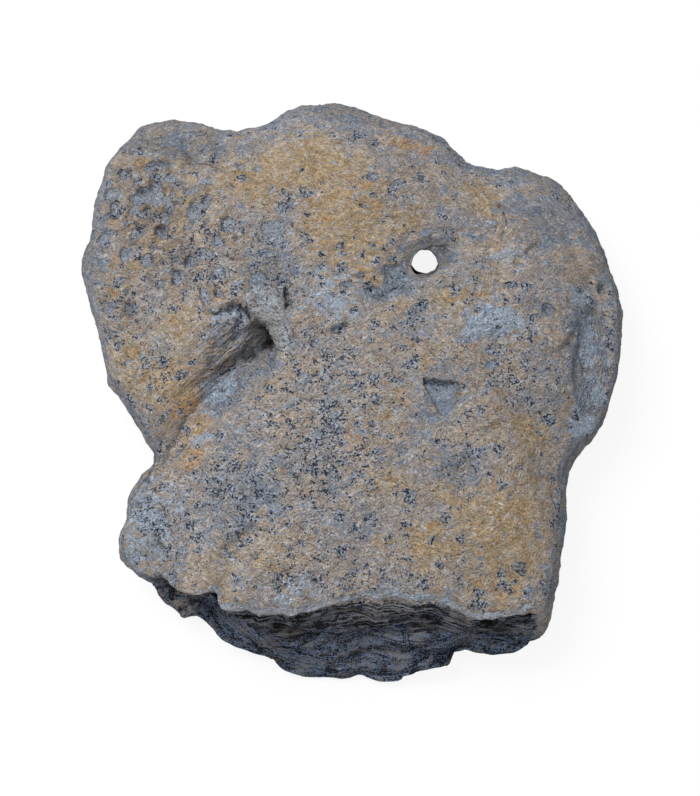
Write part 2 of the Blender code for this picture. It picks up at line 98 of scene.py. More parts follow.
# The canal: a slanting foramen with an uneven mouth, whose radius swells and pinches in a few waves.
CANAL_TOP = (19.4, 32.1, 32.0)
CANAL_FOOT = (20.8, 47.3, 0.0)
CANAL_HALF = (3.4, 3.8)    # half widths of its mouth in x and in y
CANAL_FLARE = 1.12         # the foot of the canal is this many times as wide as its mouth
CANAL_WAVES = [(2, -1.6, 0.07), (3, 2.0, 0.02), (9, 1.0, 0.012)]    # waves round, turn, share of the radius

FACE_HEIGHT = 31.5         # height of the face before its relief, inside its domed border
DOME_SHARE = 0.55          # share of the way in from the brow over which the face still rises
REST_SHARE = 0.55          # share of the way out from the canal over which the underside lies flat
REST_SINK = 0.3            # how far the flat is laid below the ground, and lifted again once it is worn
PIT_DEPTH = 1.15           # the pits are worn this many times as deep as they are laid out
WALL_TILT = 0.6            # how far the burrow leans under its rim in x and in y, per millimetre of depth
PIT_REACH = (-3, 2)        # distances inside a pit's outline that the mesh tells apart

# Swells of the top face: x, y, half width, half length, turn in degrees, height.
SWELLS = [
    (-1, 54, 24, 15, -10, 3.2), (43, 10, 16, 18, 0, 1.6), (32, -44, 18, 16, 0, 1.0),
    (-36, 64, 7, 6, 0, -3.0), (-49, 41, 18, 20, 0, -1.0), (-24, -51, 9, 8, 0, 1.0),
    (-38, 12, 7, 5, 40, 1.6), (-12, 18, 6, 12, 0, 1.2), (10, -25, 20, 9, 0, 0.6), (30, -8, 8, 5, 0, 0.8),
    (20.2, 35.0, 7, 5.5, 25, -2.2),
]
# Troughs: half width on the left and on the right of the path, then path points of (x, y, depth).
TROUGHS = [
    (12.5, 4.4, [(-17, 14.5, 0.0), (-20, 12, 2.6), (-24, 9, 5.2), (-30.2, 4, 4.6), (-36.4, -1.5, 3.9),
                 (-41, -6, 3.4), (-44.5, -11, 3.0), (-49, -18, 3.0)]),
    (4.2, 4.2, [(4, 23.2, 1.0), (13, 27.7, 2.6), (19.4, 32, 3.2), (27.2, 37, 2.4), (34, 40.6, 1.0)]),
    (5.0, 5.0, [(65, 28, 2.0), (61.5, 16.3, 2.4), (61, 3.7, 2.5), (59.5, -8.7, 2.4)]),
    (2.6, 2.6, [(-45.3, -23, 1.6), (-46.2, -31, 1.8), (-46.4, -41.6, 1.8), (-44.8, -52, 2.2)]),
    (2.4, 2.4, [(-28.3, -43, 1.4), (-30, -50.6, 1.8), (-31, -59, 2.0)]),
    (2.4, 2.4, [(30, -20, 0.8), (28.4, -24.4, 0.9), (26, -28, 0.6)]),
]
# Ledges: the distance over which the drop runs out on the right of the path, then path points of
# (x, y, drop).
LEDGES = [
    (6.5, [(-41.5, 9, 0.0), (-40.6, 12.6, 0.3), (-39.2, 15.2, 0.5), (-37.2, 16.6, 0.8), (-35.2, 17.4, 1.2),
           (-33.2, 18.3, 1.7), (-31.4, 19.3, 2.1), (-29.9, 20.0, 2.5), (-28.6, 20.2, 2.9), (-27.4, 20.7, 3.4),
           (-26.4, 19.2, 3.4), (-25.3, 17.4, 3.8), (-24, 15.9, 4.2), (-22.7, 15.1, 4.6), (-21.4, 13.1, 4.8),
           (-20.4, 11.2, 4.6), (-18.8, 8.6, 3.8), (-19.4, 6, 2.8), (-20.4, 3, 2.0), (-22, -3, 0.7),
           (-24, -8, 0.0)]),
    (2.2, [(-17.2, 16.5, 0.0), (-17.0, 18.5, 2.6), (-16.6, 21, 3.2), (-17.2, 23.5, 2.6), (-16.5, 26, 0.0)]),
    (4.0, [(40, 29.5, 0.0), (43, 32, 0.7), (46.5, 35.5, 1.0), (49, 39, 1.0), (51, 43, 0.0)]),
    (7.0, [(40, 35, 0.0), (39, 39, 0.7), (40.8, 44.5, 1.0), (39, 50, 0.9), (34.5, 55, 0.6), (31, 59, 0.0)]),
    (5.0, [(-48, -17.5, 0.8), (-43.5, -9, 1.4), (-38.5, -3.6, 1.6), (-33, 2.6, 1.8), (-27, 8.6, 2.0)]),
    (5.0, [(26.5, -3.2, 0.0), (28.5, -3.6, 1.0), (32.3, -4.4, 0.0)]),
    (3.0, [(18.6, -0.4, 0.0), (19.8, 0.6, 0.9), (21.8, 1.6, 1.1), (24.8, 1.9, 1.1), (28.4, 0.8, 0.0)]),
    (5.0, [(-31, -44, 0.0), (-28, -42.2, 1.0), (-25.5, -39.7, 1.6), (-22.6, -39.3, 1.6), (-20.4, -40.9, 1.0),
           (-17, -42.5, 0.0)]),
    (8.0, [(49, 5.5, 0.0), (52.5, 7.5, 1.2), (55.8, 10.5, 1.8), (58, 15.5, 1.8), (60.8, 21.5, 1.2),
           (62, 26, 0.0)]),
    (4.0, [(2, 21, 0.0), (12, 24.5, 0.6), (22, 25, 0.6), (34, 21.5, 0.0)]),
]
# Pits: x, y, half width, half length, turn in degrees, depth.
PITS = [
    (-47.0, 50.0, 1.1, 4.0, 0, 1.0), (-60.6, 61.0, 1.6, 1.2, 0, 1.0), (-51.3, 62.0, 4.3, 1.2, 3, 1.1),
    (-47.8, 57.7, 1.5, 1.6, 0, 0.6), (-62.8, 50.9, 1.3, 2.1, 0, 0.9), (-63.8, 55.6, 2.5, 1.8, 20, 0.9),
    (-38.1, 56.1, 1.5, 1.6, 0, 0.5), (-41.0, 46.9, 1.8, 3.1, 0, 0.4), (-37.7, 50.1, 1.0, 1.9, -20, 0.9),
    (-56.2, 43.4, 1.4, 2.2, -15, 1.1), (-50.2, 42.9, 1.8, 2.2, 0, 1.4), (-57.5, 49.6, 1.4, 1.6, 0, 0.5),
    (-54.7, 48.0, 1.5, 1.5, 0, 0.5), (-49.1, 45.9, 0.8, 1.0, 0, 0.5), (-31.8, 42.0, 2.1, 2.5, 0, 0.8),
    (-38.0, 34.5, 2.5, 1.7, -10, 0.9), (-41.7, 32.9, 1.5, 1.7, 0, 1.2), (-45.5, 33.9, 1.0, 1.4, -30, 1.2),
    (-53.0, 34.6, 1.8, 2.0, 0, 1.1), (-44.2, 28.2, 2.1, 2.3, 10, 1.1), (-57.0, 21.1, 1.5, 2.0, 0, 1.5),
    (-61.9, 22.8, 1.3, 1.0, 0, 1.0), (-34.0, 22.8, 1.1, 1.3, 0, 0.8), (-37.3, 22.2, 1.3, 3.2, 14, 0.7),
    (-23.6, 25.1, 2.6, 3.5, 0, 0.4), (-34.3, 37.8, 1.6, 1.8, 0, 0.9), (-34.1, 29.2, 1.3, 2.0, 0, 0.3),
    (-49.4, 27.1, 1.1, 1.6, 0, 0.7), (-28.9, 60.3, 1.2, 1.0, 0, 0.3), (-24.3, 58.9, 1.1, 1.2, 0, 0.3),
    (2.7, 27.5, 1.4, 1.0, 15, 1.0), (-0.9, 25.0, 1.7, 1.2, 15, 0.7), (-3.0, 12.6, 1.8, 1.5, -5, 1.4),
    (17.7, 18.5, 1.9, 1.3, -20, 0.6), (-63.7, 44.2, 1.1, 1.3, 0, 0.8), (-56.5, 57.5, 1.1, 0.9, 0, 0.5),
    (-65.3, 35.0, 1.4, 1.9, 0, 0.9), (-65.1, 42.2, 1.4, 2.6, 10, 1.0), (-59.1, 36.3, 1.2, 2.5, 10, 0.8),
    (50.7, 18.4, 1.5, 1.5, 0, 1.2), (5.8, 54.5, 1.6, 1.4, 0, 0.8), (66.0, 28.6, 1.0, 1.7, 0, 1.6),
    (12.5, 52.8, 2.0, 1.3, 0, 0.5), (7, 71, 1.6, 1.0, 0, 0.5), (36, 2, 1.8, 1.2, 20, 0.4),
]
# Sharp-edged pockets: width of the wall, then the corners of a convex outline as (x, y, depth there).
POCKETS = [
    (0.6, [(18.2, -1.2, 3.4), (22.5, -1.5, 2.8), (26.4, -2.6, 1.6), (26.6, -5.5, 0.9), (25.6, -10, 0.5),
           (24.4, -12, 0.3), (22.6, -11.2, 0.3), (20, -6.4, 0.6), (18.4, -3.2, 1.2)]),
    (0.9, [(-56.6, 54.5, 1.4), (-55.4, 55.8, 1.7), (-51.7, 56.9, 1.7), (-49.8, 56.3, 1.3),
           (-49.0, 51.0, 0.9), (-50.4, 48.9, 0.7), (-53.9, 51.3, 1.0)]),
    (0.8, [(-23.2, 42.6, 0.6), (-17.2, 43.4, 0.7), (-16.7, 36.6, 0.4), (-22.9, 36.2, 0.5)]),
    (0.9, [(8.8, 30.6, 0.6), (12.9, 31.4, 0.4), (15.5, 29.2, 0.3), (16.7, 26.3, 0.3), (13.9, 23.5, 0.5),
           (10.8, 21.5, 0.8), (9.2, 21.5, 0.8)]),
    (0.8, [(3.1, 24.6, 0.8), (5.7, 24.6, 0.9), (9.3, 24.0, 0.8), (10.8, 21.5, 0.6), (8.7, 20.6, 0.6),
           (6.2, 21.2, 0.7), (3.9, 22.9, 0.7)]),
]
# Wide shallow steps at the rim whose floors are stripped to grey bone, given in the same way. These
# outlines aren't quite convex, so a step is only the part that lies inside the lines of all its sides.
BARED = [
    (1.1, [(-53.7, 77, 0.6), (-41.1, 76.8, 0.8), (-35.3, 67.9, 1.6), (-36.9, 63.7, 2.0), (-43.0, 63.7, 2.4),
           (-49.8, 66.8, 2.2), (-62.0, 67.0, 1.0)]),
    (1.1, [(66, 22, 0.4), (66.5, 4, 0.2), (63.5, -7.3, 0.2), (57.9, -7.3, 0.5), (56.7, 0, 0.9),
           (56.5, 8, 1.2), (57.6, 14, 1.5), (60.6, 19.8, 1.4), (61.5, 22.8, 1.0)]),
]
# Painted shadow: dark lines at the foot of the sharpest ledges, as paths of (x, y, amount).
LEDGE_SHADOW_PATHS = [
    [(-37.6, 15.6, 0.0), (-35.2, 16.8, 0.7), (-33.2, 17.6, 0.9), (-31.2, 18.7, 1.0), (-28.2, 19.8, 1.0),
     (-26.8, 18.8, 1.0), (-25.6, 17.0, 1.0), (-24.3, 15.6, 0.0)],
    [(-16.9, 17, 0.0), (-16.4, 18.8, 0.8), (-16.0, 21, 0.8), (-16.6, 23.4, 0.8), (-16.2, 25.5, 0.0)],
    [(18.8, -1.4, 0.6), (22.5, -1.8, 0.8), (26.4, -2.8, 0.9), (31, -4.0, 0.0)],
]
LEDGE_SHADOW_HALF = 0.8             # half width of a painted shadow line
BURROW = (-22.8, 12.4, 3.8, 1.6, -56, 8.0)    # laid out like a pit
BURROW_WALL = (0.35, 1.2)    # shares of its half size between which its wall rises
BURROW_SHADE = [(-21.4, 13.0, 3.8, 2.0, -54, 1.25)]    # the oval where its deep inside is painted black as shade
FRAYED = [(2.6, 0.7), (1.5, 0.3)]    # how the outlines of the relief wander: size of the bends, reach
RAGGED = [(1.0, 4.5, 70), (0.6, 2.2, 71), (0.4, 1.3, 73)]    # broken edge: reach, size and seed of its bends
PIT_WALL = (-0.2, 0.5)       # distances inside its outline between which a pit's wall goes down
WORN_EDGE = (0.3, 0.7)       # a ledge's upper edge is lowered by this share of the drop, over this half width

# Lumpy wear of the whole surface: height, size and seed of the lumps.
WEAR = [(0.9, 14.0, 3), (0.45, 6.0, 4)]

# ---------------------------------------------------------------- mesh, fine relief and colour zones

ROUND_STEPS = 560          # steps round the canal
SECTION_STEPS = {"flank": 26, "top": 112, "canal": 9, "under": 16, "heel": 11}
ROUNDING_PASSES = 5        # how often the shoulders are eased
HOLLOW_PASSES = 14         # how often the surface is smoothed to tell its hollows
LIP_ROWS = 2.6             # rows inside the brow over which its lip fades
SHARP = np.radians(42)     # an edge of the mesh that turns more than this is left sharp

# Heights of the small forms that are laid over the relief.
CELL_DEPTH = 0.5           # winding cells of the pitted bone
RIDGE_HEIGHT = 1.5         # sharp ridges between them
FIBRE_HEIGHT = 2.1         # fibres down the wall of the long trough
TERRACE_HEIGHT = 0.5       # low terraces all over
RIM_LEAF_HEIGHT = 0.6      # edges of the leaves that crop out round the rim and in grey patches
BROKEN_LEAF_HEIGHT = 0.7   # thin leaves of the broken face
FLANK_LOSS = 0.35          # how much thinner the flanks are worn
BROKEN_LOSS = 0.2          # and the broken face
# Lumps of the surface, height, size and seed: those that the terraces follow, those all over, and those
# of the broken face.
TERRACED = [(1.0, 10, 31), (0.35, 4, 32)]
SURFACE_LUMPS = [(0.26, 3.2, 35), (0.26, 1.8, 36)]
BROKEN_LUMPS = [(0.6, 3.4, 42), (0.5, 2.0, 43)]

# Each zone is a list of ovals: x, y, half width, half length, turn in degrees, strength.
PITTED = [
    (-50, 46, 19, 26, 0, 1.0), (-33, 34, 12, 16, 0, 0.7), (-60, 20, 9, 16, 0, 0.8), (-20, 38, 9, 16, 0, 0.4),
]
OCHRE = [
    (-26, 56, 12, 8, 0, 0.8), (-12, 58, 14, 9, 0, 1.0), (-2, 43, 12, 13, 20, 1.1), (13, 42, 9, 8, 0, 0.7),
    (5.4, 27.8, 3.4, 2.8, 0, 0.9), (14, 19, 9, 3, 20, 0.6), (28, 21, 10, 4, 0, 0.6), (7, -12, 11, 9, 0, 0.45),
    (36, -6, 9, 12, 0, 0.35), (20, 4, 6, 5, 0, 0.5), (12.6, -6.6, 5, 5, 0, 0.5), (-50, 48, 17, 22, 0, 0.5),
    (-56, 7, 7, 9, 0, 0.7), (-45, -1, 9, 7, -40, 1.0), (-40, -14, 4, 10, -10, 1.0), (45, -16, 6, 7, 0, 0.8),
    (38, -42, 10, 16, -10, 1.0), (20, -44, 10, 8, 0, 0.8), (27, -32, 12, 6, 0, 0.7), (10, -30, 6, 5, 0, 0.6),
    (35, 51, 6, 8, 20, 0.8), (-17, -48, 14, 8, 0, 0.4), (-57, 62, 10, 9, 0, 0.35), (-58, 24, 8, 12, 0, 0.35),
    (-44, 16, 9, 7, 0, 0.5),
]
GREY = [
    (-31, -1.5, 10, 4, 42, 0.9), (-26, 9, 6, 6, 0, 0.6), (-32, 11, 8, 3.5, 45, 0.6),
    (-20.5, 29, 6, 7, 0, 0.8), (-21.7, 6.6, 4.0, 4.5, 0, 0.95), (-29, -31, 13, 12, 0, 0.5),
    (61.5, 7, 4.2, 13, 0, 1.0), (52, 47, 13, 11, -35, 0.6), (22.4, -5, 4.0, 6, 0, 1.8),
    (27, -25, 5, 7, -20, 0.8), (-51, -37, 8, 14, 0, 0.35), (-68, 36, 3, 24, 0, 0.6), (35, 12, 9, 7, 0, 0.5),
    (-47, 71, 14, 6, 0, 1.1), (20, 33.6, 6.4, 4.8, 22, 1.7), (3, 78, 26, 6, -5, 0.9),
    (12.6, 26, 4.2, 4.5, 0, 0.8), (7.0, 22.8, 4.5, 1.8, -8, 0.8),
]
PALE = [
    (37, 14, 7, 4, 0, 0.8), (-33, -0.5, 5, 3, 42, 0.9), (-38, -15.3, 2.2, 1.8, 0, 1.3),
    (-5, 22, 8, 9, 0, 0.4), (3, -8, 10, 12, 0, 0.15), (-12, -55, 9, 3, 0, 0.3), (-51, -36, 8, 13, 0, 0.5),
    (60, 24, 3.0, 2.4, 0, 0.9), (64, -2.6, 1.8, 2.0, 0, 1.3), (59, -10.5, 3.4, 2.0, 30, 1.1),
    (61.7, 12, 3.6, 8, 0, 0.55), (-31, 17.2, 3.6, 2.0, 20, 1.0), (41, 33.5, 4.5, 2.2, 30, 0.6),
    (12.6, 26.5, 3.6, 3.6, 0, 0.3),
]
SPECKLED = [
    (-7, -15, 14, 26, 0, 1.0), (-25, -30, 13, 11, 0, 0.8), (-37, 34, 12, 12, 0, 0.8),
    (-28, -40, 9, 7, 0, 0.7), (27, -24, 8, 8, 0, 0.8), (-20, 25, 9, 10, 0, 0.8), (-50, -36, 8, 12, 0, 0.7),
    (20, 3, 14, 8, 0, 0.5), (-56, 24, 11, 14, 0, 0.6), (-50, 4, 10, 9, -40, 0.5), (-4, -52, 30, 6, 0, 0.7),
    (26, -50, 20, 8, 0, 0.3), (40, 0, 12, 16, 0, 0.4), (-43, -18, 5, 9, 0, 0.4), (-31, 16, 6, 4, 20, 0.7),
    (-56, 7, 8, 9, 0, 0.4),
]
CLEAN = [
    (46, 42, 17, 13, -20, 0.9), (38, -42, 11, 15, 0, 0.6), (-12, 61, 18, 8, 0, 0.7), (-3, 44, 10, 9, 0, 0.4),
    (22.2, -5.0, 5.0, 6.5, 0, 1.6), (20, 35, 6, 5, 22, 1.2),
]
RUST = [
    (16, 67, 8, 2.5, -8, 0.9), (31, 21, 3.5, 2.2, 0, 0.8), (32, 7, 2, 2, 0, 0.6),
    (-43, -5.5, 6.5, 1.5, 40, 1.0), (-39.5, -20.5, 5.5, 2.0, 50, 1.0),
]
SKINNED = [(-41, -55, 5, 7, 0, 0.6), (-50, -50, 5, 6, 0, 0.4), (47, -61, 4, 5, 0, 0.6)]    # skin on the break
FIBRED = [(-32, 9, 12, 4.5, 45, 1.0)]                # the wall of the long trough, with raised fibres
STREAKED = [(-29.5, 8, 12, 4.5, 42, 1.0)]            # the same wall, with dark streaks
STREAKED_LOBE = [(-51, -36, 7, 12, 0, 0.4)]          # fainter streaks on the lobe beside the trough
# The rough plate at the head of the trough, of ovals that keep their strength nearly to their edge.
PLATE = [(-21.8, 20.4, 6.0, 4.8, -45, 1.2), (-18.6, 13.4, 3.2, 8.0, 30, 1.2), (-20.5, 17.0, 4.4, 4.4, 0, 1.2)]


# ---------------------------------------------------------------- surface


def rough(points, size, seed):
    """Smooth noise from about -1 to 1 with lumps of the given size: random slopes on a lattice, blended."""
    rng = np.random.default_rng(seed)
    order = rng.permutation(256)
    slopes = rng.normal(size=(256, 3))
    slopes /= np.linalg.norm(slopes, axis=1, keepdims=True)
    cell = np.floor(points / size).astype(int)
    part = points / size - cell
    ease = part**3 * (part * (part * 6 - 15) + 10)
    total = np.zeros(points.shape[:-1])
    for corner in np.ndindex(2, 2, 2):
        at = (cell + corner) & 255
        pick = order[(order[(order[at[..., 0]] + at[..., 1]) & 255] + at[..., 2]) & 255]
        share = np.prod(np.where(corner, ease, 1 - ease), axis=-1)
        total += share * (slopes[pick] * (part - corner)).sum(axis=-1)
    return 1.6 * total    # the factor stretches it to about -1 to 1


def rough_sum(points, layers):
    """Noise of several sizes added up, each given as its height, the size of its lumps and its seed."""
    return sum(height * rough(points, size, seed) for height, size, seed in layers)


def flattened(points):
    """The same places at height 0, for noise that stays the same all the way down."""
    return points * (1, 1, 0)


def smooth_step(low, high, value):
    """0 at low, 1 at high, and an S-curve between."""
    share = np.clip((value - low) / (high - low), 0, 1)
    return share * share * (3 - 2 * share)


def outline_at(outline, angle):
    """Radius and height of a closed outline at each angle round the canal.

    The points are sorted by angle and joined by cubics whose end slopes are the harmonic mean of the
    slopes on both sides, or level at a peak, so that the curve never swings past its points.
    """
    x, y, z = np.array(outline, float).T
    x, y = x - CANAL_TOP[0], y - CANAL_TOP[1]
    turn = np.arctan2(y, x)
    order = np.argsort(turn)
    knots = np.column_stack([np.hypot(x, y), z])[order]
    turn = turn[order]
    turn = np.concatenate([turn[-2:] - 2 * np.pi, turn, turn[:2] + 2 * np.pi])
    knots = np.concatenate([knots[-2:], knots, knots[:2]])
    climb = np.diff(knots, axis=0) / np.diff(turn)[:, None]
    before, after = climb[:-1], climb[1:]
    same_way = before * after > 0
    slope = np.zeros(knots.shape)
    slope[1:-1] = np.where(same_way, 2 * before * after / np.where(same_way, before + after, 1), 0)
    left = np.clip(np.searchsorted(turn, angle, side="right") - 1, 1, len(turn) - 3)
    span = (turn[left + 1] - turn[left])[:, None]
    part = ((angle - turn[left]) / span[:, 0])[:, None]
    return (
        knots[left] * (1 + 2 * part) * (1 - part) ** 2
        + slope[left] * span * part * (1 - part) ** 2
        + knots[left + 1] * part**2 * (3 - 2 * part)
        + slope[left + 1] * span * part**2 * (part - 1)
    ).T


def even_angles(count, samples=8001):
    """Angles round the canal that step evenly along the girth, whose length is summed over many samples."""
    fine = np.linspace(-np.pi, np.pi, samples)
    radius, _ = outline_at(GIRTH, fine)
    x, y = radius * np.cos(fine), radius * np.sin(fine)
    run = np.concatenate([[0], np.cumsum(np.hypot(np.diff(x), np.diff(y)))])
    return np.interp(np.arange(count) / count * run[-1], run, fine)


def along(x, y, path):
    """Distance to a path of (x, y, amount), the amount at its nearest place, and where its right side is.

    Where a corner is the nearest place, the side is told from the stretch whose line lies further off.
    """
    best = np.full(x.shape, np.inf)
    line_off = np.zeros(x.shape)
    amount = np.zeros(x.shape)
    right = np.zeros(x.shape, bool)
    for (x0, y0, amount0), (x1, y1, amount1) in zip(path[:-1], path[1:]):
        dx, dy = x1 - x0, y1 - y0
        part = np.clip(((x - x0) * dx + (y - y0) * dy) / (dx * dx + dy * dy), 0, 1)
        away = np.hypot(x - x0 - part * dx, y - y0 - part * dy)
        off = np.abs(dy * (x - x0) - dx * (y - y0)) / np.hypot(dx, dy)
        nearer = (away < best - 1e-6) | ((away < best + 1e-6) & (off > line_off))
        best = np.where(nearer, away, best)
        line_off = np.where(nearer, off, line_off)
        amount = np.where(nearer, amount0 + part * (amount1 - amount0), amount)
        right = np.where(nearer, dy * (x - x0) > dx * (y - y0), right)
    return best, amount, right


def oval(x, y, centre_x, centre_y, half_x, half_y, turn):
    """Distance from an oval's centre as a share of its half size, so its edge is at 1."""
    c, s = np.cos(np.radians(turn)), np.sin(np.radians(turn))
    dx, dy = x - centre_x, y - centre_y
    return np.hypot((c * dx + s * dy) / half_x, (c * dy - s * dx) / half_y)


def inside_oval(x, y, place):
    """How far each point lies inside an oval, in millimetres, and less than 0 outside."""
    return (1.0 - oval(x, y, *place)) * min(place[2:4])


def zone(grid, ovals):
    """How much each point belongs to a zone: the strongest of its ovals, each falling off as exp(-d^2)."""
    x, y = grid[..., 0], grid[..., 1]
    return np.max([strength * np.exp(-(oval(x, y, *place) ** 2)) for *place, strength in ovals], axis=0)


def pocket(x, y, corners):
    """How far each point lies inside a convex outline, and the depth there.

    The first is the least distance to the lines of its sides. The depth is the mean of the corners'
    depths, each weighed by 1 / (squared distance + 0.5).
    """
    inside = np.full(x.shape, np.inf)
    depth, weights = 0, 0
    for (x0, y0, depth0), (x1, y1, _) in zip(corners, corners[1:] + corners[:1]):
        dx, dy = x1 - x0, y1 - y0
        inside = np.minimum(inside, (dy * (x - x0) - dx * (y - y0)) / np.hypot(dx, dy))
        weight = 1 / ((x - x0) ** 2 + (y - y0) ** 2 + 0.5)
        depth, weights = depth + weight * depth0, weights + weight
    return inside, depth / weights


def pit_field(x, y):
    """How far each point lies inside the nearest pit or pocket, in millimetres, and less than 0 outside."""
    inside = [inside_oval(x, y, place) for *place, _ in PITS]
    inside += [pocket(x, y, corners)[0] for _, corners in POCKETS]
    return np.max(inside, axis=0)


def face_relief(grid):
    """Height added to the top face by its swells, troughs, ledges, pits, pockets and bared steps.

    A swell and a trough fall off as exp(-d^2). A ledge is a sudden drop that runs out as exp(-d^1.5) on
    its low side, and its upper edge is lowered by a share of the drop that falls off as exp(-d^2). A pit
    has a flat floor, the floor of a pocket slopes between its corners, and both have S-shaped walls.
    """
    level = flattened(grid)
    x, y = grid[..., 0], grid[..., 1]
    for seed, (size, reach) in enumerate(FRAYED, start=60):
        x = x + reach * rough(level, size, seed)
        y = y + reach * rough(level, size, seed + 10)
    height = np.zeros(x.shape)
    for *place, rise in SWELLS:
        height += rise * np.exp(-(oval(x, y, *place) ** 2))
    for left_half, right_half, path in TROUGHS:
        away, depth, right = along(x, y, path)
        height -= depth * np.exp(-((away / np.where(right, right_half, left_half)) ** 2))
    for run, path in LEDGES:
        away, drop, right = along(x, y, path)
        low_side = np.exp(-((away / run) ** 1.5))
        high_side = WORN_EDGE[0] * np.exp(-((away / WORN_EDGE[1]) ** 2))
        height -= drop * np.where(right, low_side, high_side)
    for *place, depth in PITS:
        height -= PIT_DEPTH * depth * smooth_step(*PIT_WALL, inside_oval(x, y, place))
    for wall, corners in POCKETS + BARED:
        inside, depth = pocket(grid[..., 0], grid[..., 1], corners)
        height -= depth * smooth_step(-0.2 * wall, 0.8 * wall, inside)
    return height


def burrow_depth(x, y):
    """Depth of the burrow at the head of the long trough: full in its middle, and an S-curve out to 0."""
    *place, depth = BURROW
    return depth * (1 - smooth_step(*BURROW_WALL, oval(x, y, *place)))


def rim_turn(share, roundness):
    """Shares of the way in and up, for a rim that turns through SHOULDER where roundness is 1.

    In goes as one less the cosine and up as the sine. Where roundness is 0 the rim runs straight.
    """
    turn = share * SHOULDER
    inward = (1 - np.cos(turn)) / (1 - np.cos(SHOULDER))
    upward = np.sin(turn) / np.sin(SHOULDER)
    return share + roundness * (inward - share), share + roundness * (upward - share)


def rim_rows(girth, edge, steps, roundness):
    """Rows from the girth to the brow or the sole, on a rounded turn, the last row left out."""
    share = (np.arange(steps) / steps)[:, None]
    inward, upward = rim_turn(share, roundness[None, :])
    plan = girth[:, :2] + (edge - girth)[:, :2] * inward[..., None]
    height = girth[:, 2] + (edge - girth)[:, 2] * upward
    return np.concatenate([plan, height[..., None]], axis=-1)


def straight_rows(start, end, steps):
    """Rows straight from start towards end, the last row left out."""
    share = (np.arange(steps) / steps)[:, None, None]
    return start + (end - start) * share


def laid_sections():
    """Grid of points before any relief, rows along the section and columns round the canal.

    Also returns how far each column belongs to the broken near face, from 0 to 1.
    """
    angle = even_angles(ROUND_STEPS)
    ray = np.column_stack([np.cos(angle), np.sin(angle)])

    def ring(outline):
        radius, height = outline_at(outline, angle)
        return np.column_stack([CANAL_TOP[:2] + ray * radius[:, None], height])

    def mouth(centre, flare):
        swell = 1 + sum(share * np.cos(waves * angle + turn) for waves, turn, share in CANAL_WAVES)
        plan = centre[:2] + ray * CANAL_HALF * flare * swell[:, None]
        return np.column_stack([plan, np.full(len(ray), centre[2])])

    brow, girth, sole = ring(BROW), ring(GIRTH), ring(SOLE)
    top, foot = mouth(CANAL_TOP, 1.0), mouth(CANAL_FOOT, CANAL_FLARE)
    fade_in, full, last, fade_out = BROKEN_ENDS
    broken = smooth_step(BROKEN_FROM, BROKEN_TO, girth[:, 1])
    broken *= smooth_step(fade_in, full, girth[:, 0]) * smooth_step(fade_out, last, girth[:, 0])
    brow[:, :2] += (broken * rough_sum(brow, RAGGED))[:, None] * ray
    brow[:, 2] += broken * 0.7 * rough(brow, 4.0, 72)
    heel = rim_rows(girth, sole, SECTION_STEPS["heel"] + 1, 1 - broken)
    rows = [
        rim_rows(girth, brow, SECTION_STEPS["flank"], 1 - broken),
        straight_rows(brow, top, SECTION_STEPS["top"]),
        straight_rows(top, foot, SECTION_STEPS["canal"]),
        straight_rows(foot, sole, SECTION_STEPS["under"]),
        sole[None],
        heel[:0:-1],
    ]
    return np.concatenate(rows), broken


def head_of_trough(x, y):
    """How much each point belongs to the rough plate above the first ledge, and 1 below that ledge."""
    _, _, below = along(x, y, LEDGES[0][1])
    plate = np.max([strength * np.exp(-(oval(x, y, *place) ** 4)) for *place, strength in PLATE], axis=0)
    return plate * ~below, below * 1.0


def ledge_shadows(x, y):
    """Painted shadow: dark lines just below some sharp ledges, an amount that falls off as exp(-d^2) on both
    sides.
    """
    lines = []
    for path in LEDGE_SHADOW_PATHS:
        away, amount, _ = along(x, y, path)
        lines.append(amount * np.exp(-((away / LEDGE_SHADOW_HALF) ** 2)))
    return np.max(lines, axis=0)


def row_parts():
    """Row numbers of the flank, top, canal, underside and heel."""
    counts = [SECTION_STEPS[part] for part in ("flank", "top", "canal", "under")]
    rows = np.arange(sum(SECTION_STEPS.values()) + 1)
    return np.split(rows, np.cumsum(counts))


def shaped_grid():
    """The grid with its doming, rounding and relief, how much each row faces up, and where layers show."""
    grid, broken = laid_sections()
    flank, top, canal, under, heel = row_parts()
    # The face rises from the brow to its inner height, steeply at first.
    inward = np.clip(np.arange(len(top)) / len(top) / DOME_SHARE, 0, 1)[:, None]
    brow_height = grid[top[0], :, 2]
    grid[top, :, 2] = brow_height + (FACE_HEIGHT - brow_height) * (1 - (1 - inward) ** 2)
    # The underside is flat in the middle and lifts to the sole.
    outward = (np.arange(len(under)) / len(under))[:, None]
    sole_height = grid[heel[0], :, 2]
    grid[under, :, 2] = (sole_height + REST_SINK) * smooth_step(REST_SHARE, 1.0, outward) - REST_SINK
    # The shoulders are eased, but neither the broken edge nor the canal.
    soft = np.ones(len(grid))
    soft[canal] = 0
    soft[[top[-1], under[0]]] = 0
    for _ in range(ROUNDING_PASSES):
        mean = (np.roll(grid, 1, axis=0) + np.roll(grid, -1, axis=0)) / 2
        grid += 0.5 * (soft[:, None] * (1 - broken))[..., None] * (mean - grid)
    # The relief of the face fades out past the brow.
    facing = np.zeros(len(grid))
    facing[top] = 1
    up_rim = np.arange(len(flank)) / len(flank)
    facing[flank] = smooth_step(*RELIEF_FADE, up_rim)
    relief = face_relief(grid) * facing[:, None]
    deep = burrow_depth(grid[..., 0], grid[..., 1]) * facing[:, None]
    mouth_height = grid[canal[0], :, 2] + relief[top[-1]]
    grid[..., 2] += relief - deep
    grid[..., :2] += WALL_TILT * deep[..., None]
    # The canal wall hangs from the mouth that the relief has lowered.
    drop = (np.arange(len(canal)) / len(canal))[:, None]
    grid[canal, :, 2] = mouth_height * (1 - drop)
    layers_show = np.zeros(len(grid))
    layers_show[flank] = smooth_step(*LAYERS_FADE, up_rim)
    layers_show[heel] = 1
    return grid, facing, layers_show[:, None] * broken


